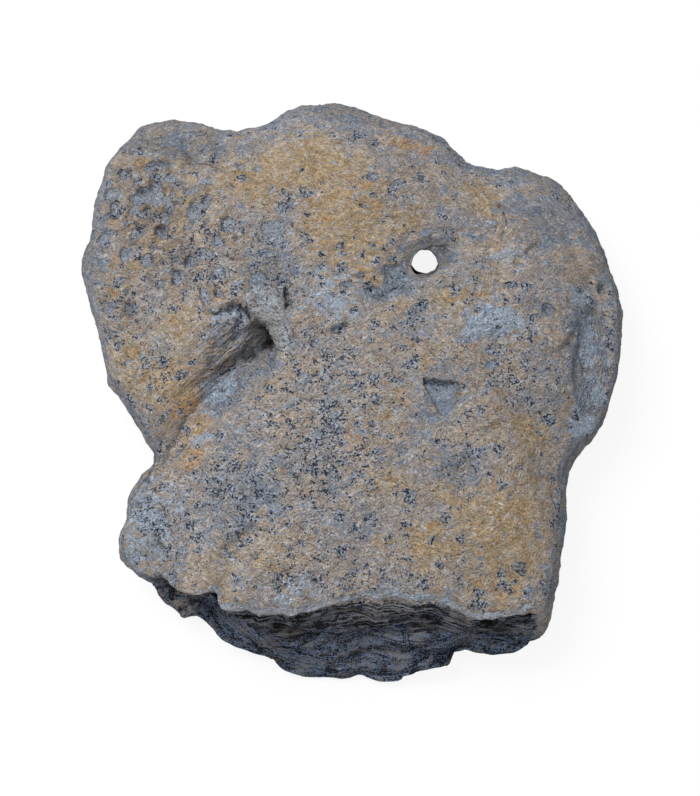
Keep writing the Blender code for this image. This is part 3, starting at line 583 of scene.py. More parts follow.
def per_layer(x, layer, apart, size, seed):
    """One value for each layer, drifting along x: noise that is read far apart for neighbouring layers."""
    return rough(np.stack([x, 0 * x, apart * layer], axis=-1), size, seed)


def layer_jut(grid):
    """How far each thick layer of the broken face stands out. The layers are level steps, gently bent."""
    layer = np.floor((grid[..., 2] + 1.5 * rough(flattened(grid), 22, 8)) / LAYER)
    return LAYER_JUT * per_layer(grid[..., 0], layer, 37.3, 15, 9)


def weathered(grid, layers_show):
    """Lumpy wear all over, none in the canal, little on the ground, and layers on the broken near face.

    Wear goes up and down, and low on the flanks it also goes outwards from the canal.
    """
    wear = rough_sum(grid, WEAR)
    out = grid[..., :2] - CANAL_TOP[:2]
    away = np.linalg.norm(out, axis=-1)
    wear *= smooth_step(3, 9, away)
    out /= np.maximum(away, 1)[..., None]
    grid[..., 1] -= layers_show * layer_jut(grid)
    sideways = 0.6 * wear * smooth_step(26, 14, grid[..., 2])
    grid[..., 2] += wear * (0.3 + 0.7 * smooth_step(4, 20, grid[..., 2]))
    grid[..., :2] += sideways[..., None] * out
    return grid


def outward_normals(grid):
    """Unit normals of the closed grid, from the cross product of its steps round and along the section."""
    along_section = np.roll(grid, -1, axis=0) - np.roll(grid, 1, axis=0)
    around = np.roll(grid, -1, axis=1) - np.roll(grid, 1, axis=1)
    normal = np.cross(around, along_section)
    return normal / np.maximum(np.linalg.norm(normal, axis=-1, keepdims=True), 1e-9)


def terraces(value, steps):
    """Flat treads with short risers: the value in whole steps, plus a quick S-curve from one to the next."""
    level = value * steps
    tread = np.floor(level)
    return (tread + smooth_step(0.7, 1.0, level - tread)) / steps


def striated(grid, turn, wide, long, seed):
    """Noise drawn out into fibres along a direction in plan: long along it, narrow across."""
    c, s = np.cos(np.radians(turn)), np.sin(np.radians(turn))
    x, y, z = np.moveaxis(grid, -1, 0)
    drift = 1.5 * rough(grid, 9, seed + 50)
    fibres = np.stack([(c * x + s * y) / long, (c * y - s * x + drift) / wide, z / (2 * wide)], axis=-1)
    return rough(fibres, 1.0, seed)


def cell_field(grid):
    """How far each point lies inside winding cells: warped noise above a level, lower in the pitted zone."""
    warp = np.stack([rough(grid, 6, seed) for seed in (21, 22, 23)], axis=-1)
    cells = rough(grid + 2.2 * warp, 3.6, 24)
    return 3.0 * (cells - 0.8 + 0.5 * np.clip(zone(grid, PITTED), 0, 1))


def weathered_edges(grid, thickness, seed):
    """Edges of level leaves that crop out on a slope: each juts near its foot and wears back above it."""
    level = flattened(grid)
    leaf = grid[..., 2] / thickness + 1.2 * rough(level, 18, seed) + 0.3 * rough(level, 5, seed + 1)
    leaf += 0.7 * rough(grid, 8, seed + 20)
    part = leaf - np.floor(leaf)
    return smooth_step(0, 0.2, part) * (1 - part) - 0.4


def fine_layers(grid, thickness, seed):
    """Thin leaves of the broken face, bent like its thick layers: each stands out by its own random share."""
    level = flattened(grid)
    leaf = np.floor((grid[..., 2] + 1.6 * rough(level, 20, 8) + 0.3 * rough(level, 5, seed)) / thickness)
    return per_layer(grid[..., 0], leaf, 23.7, 9, seed + 1)


def fine_relief(grid, facing, layers_show):
    """Height along the normal for the forms too small for the solid, and how far each point is inside a pit.

    Each form is its height times a field of its own, kept to the part of the surface where it belongs.
    """
    x, y = grid[..., 0], grid[..., 1]
    up = facing[:, None] * np.ones(x.shape)
    unbroken = 1 - layers_show
    pitted = np.clip(zone(grid, PITTED), 0, 1)
    plate, below = head_of_trough(x, y)
    cells = cell_field(grid)
    inside = np.where(up > 0.6, np.maximum(pit_field(x, y), cells), PIT_REACH[0])
    calm = 1 - 0.7 * smooth_step(-0.3, 0.5, inside)
    rim = np.maximum(np.clip(zone(grid, GREY), 0, 1), (1 - up) * unbroken)
    height = -CELL_DEPTH * smooth_step(-0.2, 0.6, cells) * up
    ridged = 1.4 - 3.6 * np.abs(rough(grid * (1, 0.8, 1), 5.5, 38)) - 2.2 * np.abs(rough(grid, 2.8, 39))
    height += RIDGE_HEIGHT * pitted * up * calm * np.clip(ridged, -0.5, 1)
    fibred = zone(grid, FIBRED) * up * below
    height += FIBRE_HEIGHT * fibred * striated(grid, turn=47, wide=2.0, long=16, seed=33)
    height += TERRACE_HEIGHT * unbroken * terraces(rough_sum(grid, TERRACED), steps=5)
    height += RIM_LEAF_HEIGHT * rim * weathered_edges(grid, thickness=2.2, seed=37) * unbroken
    height += (calm + 1.5 * plate * up) * rough_sum(grid, SURFACE_LUMPS)
    leaves = BROKEN_LEAF_HEIGHT * fine_layers(grid, thickness=1.3, seed=40)
    height += layers_show * (leaves + rough_sum(grid, BROKEN_LUMPS))
    height -= FLANK_LOSS * (1 - up) + BROKEN_LOSS * layers_show
    return height, inside


def hollowness(grid):
    """How far each point lies below the smoothed surface, where each point is the mean of its neighbours."""
    calm = grid
    for _ in range(HOLLOW_PASSES):
        calm = sum(np.roll(calm, step, axis=axis) for axis in (0, 1) for step in (1, -1)) / 4
    return ((calm - grid) * outward_normals(calm)).sum(axis=-1)


def across_layers(grid):
    """Distance from the girth along the section, one mean value per row, and less than 0 on the underside."""
    steps = np.linalg.norm(np.diff(grid, axis=0), axis=-1).mean(axis=1)
    run = np.concatenate([[0], np.cumsum(steps)])
    _, _, _, under, _ = row_parts()
    run[under[0] :] -= run[-1]
    return run


def grid_mesh(name, grid):
    """A closed mesh of quads on a grid whose rows and columns both come round, faces pointing out."""
    rows, columns = grid.shape[:2]
    number = np.arange(rows * columns).reshape(rows, columns)
    next_column = np.roll(number, -1, axis=1)
    quads = np.stack(
        [number, next_column, np.roll(next_column, -1, axis=0), np.roll(number, -1, axis=0)], axis=-1
    )
    mesh = bpy.data.meshes.new(name)
    mesh.from_pydata((grid.reshape(-1, 3) * MM).tolist(), [], quads.reshape(-1, 4).tolist())
    mesh.shade_smooth()
    mesh.set_sharp_from_angle(angle=SHARP)
    piece = bpy.data.objects.new(name, mesh)
    bpy.context.scene.collection.objects.link(piece)
    return piece


def paint(piece, name, values):
    """Keeps one number per point in an attribute, for the material to read."""
    attribute = piece.data.attributes.new(name, "FLOAT", "POINT")
    attribute.data.foreach_set("value", np.ascontiguousarray(values, np.float32).ravel())


def lip_rows(grid, top):
    """How near each row is to the brow: about 1 just inside it, falling off as exp(-d^2) over a few rows."""
    rows_in = np.arange(len(grid)) - top[0]
    return np.where(rows_in >= 0, np.exp(-((rows_in - 0.5) / LIP_ROWS) ** 2), 0)


def make_scute():
    """The plate: its laid-out form, worn and layered, with the small forms and the zones of its colours."""
    laid, facing, layers_show = shaped_grid()
    laid = weathered(laid, layers_show)
    x, y = laid[..., 0], laid[..., 1]
    upward = facing[:, None] * np.ones(x.shape)
    _, top, canal, under, _ = row_parts()
    height, inside = fine_relief(laid, facing, layers_show)
    # The small forms are lower in the canal and round its mouth.
    height[canal] *= 0.5
    near_canal = smooth_step(2, 9, np.hypot(x - CANAL_TOP[0], y - CANAL_TOP[1]))
    grid = laid + outward_normals(laid) * (height * (0.35 + 0.65 * near_canal))[..., None]
    grid[under, :, 2] += REST_SINK
    grid[..., 2] = np.maximum(grid[..., 2], 0)
    piece = grid_mesh("worn_scute", grid - (*PLAN_CENTRE, 0))

    plate, below = head_of_trough(x, y)
    bared = np.max([smooth_step(-0.5, 0.5, pocket(x, y, corners)[0]) for _, corners in BARED], axis=0)
    hollow = hollowness(grid)
    # Painted shade: the deep inside of the burrow is marked to be painted black.
    burrow = zone(grid, BURROW_SHADE) * smooth_step(0.2, 0.9, hollow)
    marks = {
        "ochre": zone(grid, OCHRE) * upward,
        "grey": np.max([zone(grid, GREY), 0.8 * (1 - upward), bared * upward], axis=0),
        "pale": zone(grid, PALE),
        "speckled": np.clip(zone(grid, SPECKLED) - zone(grid, CLEAN) + 0.35, 0, 1),
        "rust": zone(grid, RUST),
        "pits": np.clip(inside, *PIT_REACH),
        "lip": lip_rows(grid, top)[:, None] * np.max(layers_show, axis=0),
        "wall": np.maximum(zone(grid, STREAKED) * below, zone(grid, STREAKED_LOBE)),
        "plate": plate * upward,
        # painted shadow below the sharp ledges and inside the burrow
        "cleft": np.maximum(ledge_shadows(x, y) * upward, burrow),
        "across": across_layers(grid)[:, None] * np.ones(x.shape),
        "hollow": hollow,
        "broken": layers_show * (1 - zone(grid, SKINNED)),
    }
    for name, values in marks.items():
        paint(piece, name, values)
    return piece


# ---------------------------------------------------------------- materials


def srgb(red, green, blue):
    """A colour given as screen values from 0 to 255, as the linear RGBA that shaders take."""
    share = np.array([red, green, blue]) / 255
    linear = np.where(share <= 0.04045, share / 12.92, ((share + 0.055) / 1.055) ** 2.4)
    return (*linear.tolist(), 1.0)


def feed(tree, made, inputs):
    """Gives a node its inputs, each as a value or as the socket that feeds it."""
    for name, value in inputs.items():
        if isinstance(value, bpy.types.NodeSocket):
            tree.links.new(value, made.inputs[name])
        else:
            made.inputs[name].default_value = value


def add(tree, kind, inputs=None, **settings):
    """A new node with its settings and inputs."""
    made = tree.nodes.new(kind)
    for name, value in settings.items():
        setattr(made, name, value)
    feed(tree, made, inputs or {})
    return made


def maths(tree, operation, first, second=0.0, third=0.0):
    """One step of arithmetic."""
    made = add(tree, "ShaderNodeMath", {0: first, 1: second, 2: third}, operation=operation)
    return made.outputs["Value"]


def vectors(tree, operation, inputs, result=0):
    """One step of arithmetic with places."""
    return add(tree, "ShaderNodeVectorMath", inputs, operation=operation).outputs[result]


def times(tree, first, second):
    """One value times another."""
    return maths(tree, "MULTIPLY", first, second)


def larger(tree, first, second):
    """The larger of two values."""
    return maths(tree, "MAXIMUM", first, second)


def total(tree, *parts):
    """The sum of several values, each given as (weight, value)."""
    (weight, value), *others = parts
    run = times(tree, value, weight)
    for weight, value in others:
        run = maths(tree, "MULTIPLY_ADD", value, weight, run)
    return run


def between(tree, value, low, high, to_low=0.0, to_high=1.0):
    """The value taken from low..high to to_low..to_high on an S-curve, and held outside."""
    inputs = {"Value": value, "From Min": low, "From Max": high, "To Min": to_low, "To Max": to_high}
    return add(tree, "ShaderNodeMapRange", inputs, interpolation_type="SMOOTHSTEP").outputs["Result"]


def blend(tree, share, first, second, mode="MIX"):
    """The second colour laid over the first by a share.

    Inputs 6 and 7 are the mix node's two colours, and output 2 is their mix.
    """
    inputs = {"Factor": share, 6: first, 7: second}
    settings = {"data_type": "RGBA", "blend_type": mode, "clamp_factor": True}
    return add(tree, "ShaderNodeMix", inputs, **settings).outputs[2]


def coats(tree, tone, *layers):
    """Colours laid over a tone in turn, each given as (colour, value, low, high, share).

    A colour shows where its value goes from low to high, and at most by its share.
    """
    for colour, value, low, high, share in layers:
        tone = blend(tree, between(tree, value, low, high, 0.0, share), tone, colour)
    return tone


def noise(tree, vector, size, detail, roughness):
    """Noise whose lumps are about as large as size, from 0 to 1."""
    inputs = {"Vector": vector, "Scale": 1 / size, "Detail": detail, "Roughness": roughness}
    return add(tree, "ShaderNodeTexNoise", inputs).outputs["Fac"]


def winding(tree, value, wide, narrow):
    """Thin winding lines where a noise passes its middle: 0 beyond wide of it, and 1 within narrow."""
    off = maths(tree, "ABSOLUTE", maths(tree, "SUBTRACT", value, 0.5))
    return between(tree, off, wide, narrow)


def warped(tree, vector, size, reach):
    """The place pushed about by noise with lumps of the given size, at most about half of reach."""
    push = add(tree, "ShaderNodeTexNoise", {"Vector": vector, "Scale": 1 / size, "Detail": 1.0})
    centred = vectors(tree, "SUBTRACT", {0: push.outputs["Color"], 1: (0.5, 0.5, 0.5)})
    return vectors(tree, "MULTIPLY_ADD", {0: centred, 1: (reach, reach, reach), 2: vector})


def shrunk(tree, vector, size):
    """The place counted in steps of the given size."""
    return vectors(tree, "SCALE", {0: vector, "Scale": maths(tree, "DIVIDE", 1.0, size)})


def random_cells(tree, given, size, reach):
    """Cells as large as Cell with wandering outlines: the distance to their middle, and random values."""
    pushed = warped(tree, shrunk(tree, given["Vector"], given["Cell"]), size, reach)
    cells = add(tree, "ShaderNodeTexVoronoi", {"Vector": pushed, "Scale": 1.0}).outputs
    luck = add(tree, "ShaderNodeSeparateColor", {"Color": cells["Color"]}).outputs
    return cells["Distance"], luck


def painted(tree, name):
    """A number that the mesh keeps for each of its points."""
    return add(tree, "ShaderNodeAttribute", attribute_name=name).outputs["Fac"]


def new_group(name, inputs, outputs):
    """An empty node group with named sockets: its tree, the sockets coming in, and the node going out."""
    tree = bpy.data.node_groups.new(name, "ShaderNodeTree")
    for socket, value in inputs.items():
        kind = "NodeSocketVector" if value is None else "NodeSocketFloat"
        made = tree.interface.new_socket(socket, in_out="INPUT", socket_type=kind)
        if value is not None:
            made.default_value = value
    for socket in outputs:
        tree.interface.new_socket(socket, in_out="OUTPUT", socket_type="NodeSocketFloat")
    return tree, tree.nodes.new("NodeGroupInput").outputs, tree.nodes.new("NodeGroupOutput")


def use(tree, group, **inputs):
    """A node group placed in a tree with its own values."""
    return add(tree, "ShaderNodeGroup", inputs, node_tree=group).outputs


def spot_group():
    """Scattered spots with wandering outlines: of random cells a Share is picked, each with its own size.

    Size is the largest radius as a share of the cell, and Edge is the softness of the outline.
    """
    inputs = {"Vector": None, "Cell": 1.0, "Share": 0.3, "Size": 0.4, "Edge": 0.1}
    tree, given, leave = new_group("scattered spots", inputs, ["Spots"])
    distance, luck = random_cells(tree, given, 0.45, 0.9)
    picked = maths(tree, "LESS_THAN", luck["Red"], given["Share"])
    reach = times(tree, given["Size"], maths(tree, "MULTIPLY_ADD", luck["Green"], 0.6, 0.4))
    inside = maths(tree, "DIVIDE", maths(tree, "SUBTRACT", reach, distance), given["Edge"])
    feed(tree, leave, {"Spots": times(tree, between(tree, inside, 0.0, 1.0), picked)})
    return tree


def fleck_group():
    """Ragged flecks: the places where a fine noise stands above a level that drops as Crowd rises.

    Flecks are the dark ones, Halos the pale bone round them, and Glints the pale bits among them.
    """
    inputs = {"Vector": None, "Size": 0.8, "Crowd": 0.5}
    tree, given, leave = new_group("ragged flecks", inputs, ["Flecks", "Glints", "Halos"])
    scale = maths(tree, "DIVIDE", 1.0, given["Size"])
    inputs = {"Vector": given["Vector"], "Scale": scale, "Detail": 2.0, "Roughness": 0.6}
    grains = add(tree, "ShaderNodeTexNoise", inputs).outputs["Fac"]
    above = total(tree, (1.0, grains), (0.23, given["Crowd"]), (-0.77, 1.0))
    below = total(tree, (-1.0, grains), (0.26, given["Crowd"]), (0.2, 1.0))
    feed(tree, leave, {
        "Flecks": between(tree, above, 0.0, 0.025),
        "Glints": between(tree, below, 0.0, 0.04),
        "Halos": between(tree, above, -0.06, -0.01),
    })
    return tree


def line_group():
    """Drawn-out lines: noise that changes within Width across the lines, and within Long along them.

    Lines is the noise from 0 to 1, and Creases the thin gaps.
    """
    inputs = {"Vector": None, "Across": 0.0, "Width": 0.7, "Long": 7.0}
    tree, given, leave = new_group("drawn-out lines", inputs, ["Lines", "Creases"])
    slow = shrunk(tree, given["Vector"], given["Long"])
    fast = add(tree, "ShaderNodeCombineXYZ", {"Z": maths(tree, "DIVIDE", given["Across"], given["Width"])})
    lines = noise(tree, vectors(tree, "ADD", {0: slow, 1: fast.outputs[0]}), 1.0, 2.0, 0.6)
    creases = between(tree, lines, 0.43, 0.36)
    feed(tree, leave, {"Lines": between(tree, lines, 0.34, 0.66), "Creases": creases})
    return tree


def facet_group():
    """Splintery facets: cells of bone, each with fine straight lines that run its own way.

    Tone is one random value for each facet, and Lines the noise drawn out along its lines.
    """
    inputs = {"Vector": None, "Cell": 5.0, "Width": 0.5, "Long": 5.0}
    tree, given, leave = new_group("splintery facets", inputs, ["Tone", "Lines"])
    _, luck = random_cells(tree, given, 0.4, 0.8)
    turn = maths(tree, "MULTIPLY_ADD", luck["Green"], 2.2, 0.6)
    sine, cosine = maths(tree, "SINE", turn), maths(tree, "COSINE", turn)
    bent = add(tree, "ShaderNodeSeparateXYZ", {"Vector": warped(tree, given["Vector"], 3.0, 1.6)}).outputs
    over = total(tree, (cosine, bent["X"]), (sine, bent["Y"]), (0.7, bent["Z"]))
    down = total(tree, (cosine, bent["Y"]), (times(tree, sine, -1.0), bent["X"]))
    inputs = {
        "X": maths(tree, "DIVIDE", over, given["Width"]), "Y": maths(tree, "DIVIDE", down, given["Long"]),
        "Z": times(tree, luck["Red"], 40.0),
    }
    lines = noise(tree, add(tree, "ShaderNodeCombineXYZ", inputs).outputs[0], 1.0, 2.0, 0.6)
    feed(tree, leave, {"Tone": luck["Blue"], "Lines": between(tree, lines, 0.41, 0.59)})
    return tree


TAN = srgb(162, 147, 131)
PINK_GREY = srgb(149, 142, 140)
PALE_BONE = srgb(174, 171, 166)
BROWN = srgb(138, 115, 90)
OCHRE_TONE = srgb(165, 144, 115)
DEEP_OCHRE = srgb(165, 133, 94)
BLUE_GREY = srgb(112, 126, 148)
STONE_GREY = srgb(134, 140, 148)
DEEP_GREY = srgb(126, 134, 145)
PALE_BLUE = srgb(155, 168, 184)
FLOOR_GREY = srgb(134, 144, 158)
PLATE_GREY = srgb(174, 178, 184)
PLATE_DARK = srgb(80, 84, 90)
NAVY = srgb(25, 40, 70)
INK = srgb(20, 25, 36)
RUST_RED = srgb(166, 128, 88)
# painted shade in the hollows and along the pit edges
PAINTED_SHADE_BROWN = srgb(80, 76, 70)
# painted shadow below the sharp ledges and inside the burrow
PAINTED_SHADOW_DARK = srgb(38, 34, 34)
# the broken face's near-black: partly its own colour, partly painted shade of a face turned from the light
BROKEN_BLACK_AND_SHADE = srgb(6, 9, 16)
BROKEN_BLUE = srgb(150, 170, 206)
BROKEN_PALE = srgb(168, 172, 182)
BROKEN_TAN = srgb(150, 136, 118)


class Surface:
    """What the looks of the plate share: the place in millimetres, the painted zones and the patterns."""

    def __init__(self, tree, lines, facets):
        place = add(tree, "ShaderNodeTexCoord").outputs["Object"]
        mm = add(tree, "ShaderNodeMapping", {"Vector": place, "Scale": (1000, 1000, 1000)}).outputs["Vector"]
        self.mm = mm
        self.swirled = warped(tree, mm, 4.5, 5.0)
        zones = ("ochre", "grey", "pale", "speckled", "rust", "lip", "wall", "cleft", "hollow", "across")
        for name in zones:
            setattr(self, name, painted(tree, name))
        self.broad = noise(tree, mm, 11, 5.0, 0.6)
        self.lumps = noise(tree, mm, 1.5, 3.0, 0.6)
        self.grit = noise(tree, mm, 1.0, 3.0, 0.75)
        self.grain = noise(tree, mm, 0.42, 2.0, 0.7)
        self.skins = noise(tree, self.swirled, 1.9, 5.0, 0.75)
        self.hairs = winding(tree, noise(tree, mm, 0.9, 2.0, 0.6), 0.035, 0.0)

        # Where the rim is, and where the pits and the rough plate are, with their ragged edges.
        self.on_rim = between(tree, self.grey, 0.3, 0.75)
        self.pits = total(tree, (1.0, painted(tree, "pits")), (1.3, self.lumps), (-0.65, 1.0))
        self.floors = between(tree, self.pits, -0.1, 0.2)
        self.plate = between(tree, total(tree, (1.0, painted(tree, "plate")), (0.8, self.lumps)), 0.8, 1.1)

        # Lines along the rim, others that run askew over the face and down the wall of the trough, and
        # facets of two sizes.
        across = total(tree, (1.0, self.across), (4.0, self.broad), (1.8, self.lumps))
        askew = vectors(tree, "DOT_PRODUCT", {0: mm, 1: (-0.68, 0.73, 0.3)}, "Value")
        askew = total(tree, (1.0, askew), (4.0, self.broad))
        self.rim_lines = use(tree, lines, Vector=mm, Across=across, Width=0.7, Long=5.0)
        self.bands = use(tree, lines, Vector=mm, Across=across, Width=2.6, Long=11.0)["Lines"]
        self.wall_lines = use(tree, lines, Vector=mm, Across=askew, Width=0.8, Long=8.0)
        self.facet = use(tree, facets, Vector=mm, Cell=4.6, Width=0.42, Long=4.0)
        self.splinter = use(tree, facets, Vector=mm, Cell=2.4, Width=0.3, Long=2.6)

        # The broken face: where it is, its mottling, its thin leaves, and how much they show higher up.
        broken = painted(tree, "broken")
        broken = total(tree, (1.0, broken), (1.6, self.lumps), (0.15, self.splinter["Lines"]))
        self.broken = between(tree, broken, 1.2, 1.3)
        self.mottle = noise(tree, mm, 0.38, 2.0, 0.75)
        self.blotches = noise(tree, mm, 7, 4.0, 0.6)
        level = total(tree, (1.0, self.across), (0.8, self.broad), (0.25, self.lumps))
        self.leaves = use(tree, lines, Vector=mm, Across=level, Width=0.42, Long=10.0)
        height = add(tree, "ShaderNodeSeparateXYZ", {"Vector": mm}).outputs["Z"]
        self.upper = between(tree, total(tree, (1.0, height), (24.0, self.blotches)), 24.0, 31.0, 0.15, 0.9)


def bone_tone(tree, at):
    """Broad tan and pink-grey, ochre in its zones, and small skins of paler and browner bone."""
    tone = blend(tree, between(tree, at.broad, 0.4, 0.6), PINK_GREY, TAN)
    ochre = total(tree, (0.9, at.ochre), (1.5, noise(tree, at.swirled, 6, 5.0, 0.65)))
    stain = noise(tree, at.swirled, 3, 4.0, 0.6)
    ochre_tone = coats(tree, OCHRE_TONE, (DEEP_OCHRE, stain, 0.5, 0.7, 1.0))
    return coats(
        tree, tone,
        (ochre_tone, ochre, 0.85, 1.4, 1.0), (PALE_BONE, at.skins, 0.5, 0.64, 0.7),
        (BROWN, at.skins, 0.47, 0.34, 0.75),
    )


def with_mineral(tree, at, tone):
    """Blue-grey mineral in patches, all over the stripped floors and in layers on the rim, then rust."""
    cool = total(
        tree, (1.5, noise(tree, at.swirled, 2.0, 5.0, 0.75)), (0.5, at.grey), (-0.2, at.ochre),
        (0.28, at.facet["Tone"]), (0.16, at.splinter["Tone"]), (-0.22, 1.0),
    )
    grey_tone = coats(tree, STONE_GREY, (BLUE_GREY, at.lumps, 0.4, 0.6, 1.0))
    tone = coats(tree, tone, (grey_tone, cool, 0.8, 0.96, 0.85))
    layered = total(
        tree, (0.35, at.rim_lines["Lines"]), (0.2, at.bands), (0.55, at.facet["Tone"]),
        (0.25, at.splinter["Lines"]),
    )
    rim_tone = coats(tree, BLUE_GREY, (OCHRE_TONE, layered, 0.5, 0.85, 1.0))
    tone = blend(tree, times(tree, at.on_rim, 0.45), tone, rim_tone)
    stripped = between(tree, total(tree, (1.0, at.grey), (0.5, at.lumps)), 1.15, 1.45)
    tone = blend(tree, times(tree, stripped, 0.85), tone, DEEP_GREY)
    pale = total(tree, (0.5, at.pale), (1.0, noise(tree, at.swirled, 2.2, 4.0, 0.6)))
    rust = total(tree, (0.8, at.rust), (0.5, at.wall_lines["Lines"]), (0.5, at.skins))
    return coats(tree, tone, (PALE_BLUE, pale, 0.58, 0.72, 0.85), (RUST_RED, rust, 0.75, 1.15, 0.7))


def with_flecks(tree, at, tone, spots, flecks):
    """Islands of blue-grey mineral in pits and small rosettes, and flecks that crowd there and in chains."""
    large = use(tree, spots, Vector=at.mm, Cell=4.4, Share=0.55, Size=0.54, Edge=0.2)["Spots"]
    small = use(tree, spots, Vector=at.mm, Cell=2.6, Share=0.42, Size=0.56, Edge=0.25)["Spots"]
    rosettes = times(tree, larger(tree, large, small), between(tree, at.grey, 0.95, 0.45))
    rosettes = times(tree, rosettes, between(tree, at.speckled, -0.15, 0.3))
    rosettes = between(tree, total(tree, (1.0, rosettes), (1.2, at.lumps)), 0.8, 1.1)
    islands = larger(tree, at.floors, times(tree, rosettes, 0.75))
    tone = blend(tree, times(tree, islands, 0.8), tone, FLOOR_GREY)

    chains = winding(tree, noise(tree, at.swirled, 3.0, 2.0, 0.5), 0.1, 0.02)
    patches = between(tree, noise(tree, at.mm, 5, 4.0, 0.65), 0.42, 0.6)
    strewn = times(tree, at.speckled, total(tree, (0.7, chains), (0.45, patches)))
    in_pits = times(tree, at.floors, between(tree, at.speckled, 0.0, 0.3, 0.0, 0.5))
    crowded = larger(tree, times(tree, rosettes, 0.95), in_pits)
    crowd = total(tree, (0.84, larger(tree, crowded, strewn)), (0.25, 1.0))
    coarse = use(tree, flecks, Vector=at.mm, Size=0.64, Crowd=crowd)
    fine = use(tree, flecks, Vector=at.mm, Size=0.44, Crowd=crowd)
    tone = blend(tree, times(tree, coarse["Glints"], 0.6), tone, PALE_BLUE)
    tone = blend(tree, times(tree, coarse["Halos"], 0.5), tone, PALE_BONE)
    fleck_tone = coats(tree, INK, (NAVY, at.skins, 0.42, 0.56, 1.0))
    dark = larger(tree, coarse["Flecks"], times(tree, fine["Flecks"], 0.85))
    return blend(tree, times(tree, dark, 0.96), tone, fleck_tone)


def with_wear(tree, at, tone):
    """The rough plate, the pale lip, the shade of creases and grain, and painted shade in hollows, shadow
    under ledges and highlights on ridges.
    """
    plate_tone = coats(tree, PLATE_GREY, (PLATE_DARK, at.grit, 0.49, 0.38, 1.0))
    tone = blend(tree, times(tree, at.plate, 0.9), tone, plate_tone)
    lip = total(tree, (0.8, at.lip), (1.6, at.skins), (0.4, at.lumps))
    tone = coats(tree, tone, (PALE_BLUE, lip, 1.45, 1.75, 0.7))

    edge_shown = total(tree, (0.65, at.on_rim), (1.2, at.lip), (0.35, 1.0))
    rim_creases = times(tree, at.rim_lines["Creases"], edge_shown)
    wall_creases = times(tree, at.wall_lines["Creases"], total(tree, (3.0, at.wall), (0.35, 1.0)))
    shade = total(
        tree, (2.2, at.grain), (-0.3, larger(tree, rim_creases, wall_creases)), (-0.25, at.hairs),
        (0.34, at.facet["Lines"]), (0.36, at.splinter["Lines"]), (-0.07, 1.0),
    )
    grey_shade = add(tree, "ShaderNodeCombineColor", {"Red": shade, "Green": shade, "Blue": shade})
    tone = blend(tree, 1.0, tone, grey_shade.outputs["Color"], "MULTIPLY")

    # Painted shade: darker in the hollows and along the edges of the pits, less on the trough wall.
    pit_edge_shade = times(tree, between(tree, maths(tree, "ABSOLUTE", at.pits), 0.3, 0.0), 0.12)
    off_wall = between(tree, at.wall, 0.2, 0.7, 1.0, 0.4)
    painted_hollow_shade = times(tree, between(tree, at.hollow, 0.5, 2.6, 0.0, 0.5), off_wall)
    tone = blend(tree, larger(tree, painted_hollow_shade, pit_edge_shade), tone, PAINTED_SHADE_BROWN)
    # Painted shadow below the sharp ledges and inside the burrow.
    cleft = total(tree, (1.0, at.cleft), (1.4, at.lumps))
    # Painted highlight: paler tan where a ridge stands above the smoothed surface.
    return coats(tree, tone, (PAINTED_SHADOW_DARK, cleft, 1.05, 1.65, 0.85), (TAN, at.hollow, -0.1, -0.6, 0.3))


def broken_tone(tree, at):
    """The broken face: thin pale leaves with black gaps above, mottled blue below, and drifts of both; its
    black is partly its own colour and partly painted shade.
    """
    grain_tone = coats(tree, BROKEN_BLUE, (BROKEN_TAN, noise(tree, at.mm, 1.3, 3.0, 0.7), 0.5, 0.6, 0.8))
    speck = total(tree, (1.0, at.mottle), (0.14, at.leaves["Lines"]), (-0.07, 1.0))
    mottled = coats(tree, BROKEN_BLACK_AND_SHADE, (grain_tone, speck, 0.45, 0.55, 1.0))
    leaf_share = total(tree, (1.0, at.leaves["Lines"]), (1.4, at.mottle))
    leafy = coats(tree, BROKEN_BLACK_AND_SHADE, (BROKEN_PALE, leaf_share, 1.4, 1.48, 1.0))
    drifts = noise(tree, at.mm, 3.5, 4.0, 0.6)
    stain = total(tree, (1.0, at.blotches), (0.2, at.splinter["Lines"]))
    tone = coats(
        tree, blend(tree, at.upper, mottled, leafy),
        (BROKEN_BLACK_AND_SHADE, drifts, 0.45, 0.33, 0.8), (BROKEN_PALE, drifts, 0.53, 0.64, 0.6),
        (BROKEN_TAN, stain, 0.68, 0.8, 0.5),
    )
    # Painted shade in the narrow gaps between the upper leaves.
    gaps = times(tree, at.leaves["Creases"], at.upper)
    return blend(tree, times(tree, gaps, 0.8), tone, BROKEN_BLACK_AND_SHADE)


def fine_bumps(tree, at):
    """Relief too fine for the mesh, in millimetres."""
    lined = total(tree, (0.5, at.on_rim), (0.6, at.lip), (0.12, 1.0))
    leaf_relief = times(tree, at.broken, total(tree, (0.8, at.upper), (0.2, 1.0)))
    return total(
        tree, (0.1, at.grain), (0.5, at.lumps), (-0.35, at.floors), (-0.12, at.hairs),
        (1.0, times(tree, at.rim_lines["Lines"], lined)),
        (0.08, at.wall_lines["Lines"]), (1.0, times(tree, at.wall_lines["Lines"], at.wall)),
        (0.16, at.facet["Lines"]), (0.12, at.splinter["Lines"]),
        (0.25, times(tree, at.facet["Tone"], at.on_rim)), (1.6, times(tree, at.grit, at.plate)),
        (0.8, times(tree, at.leaves["Lines"], leaf_relief)), (0.7, times(tree, at.mottle, at.broken)),
    )


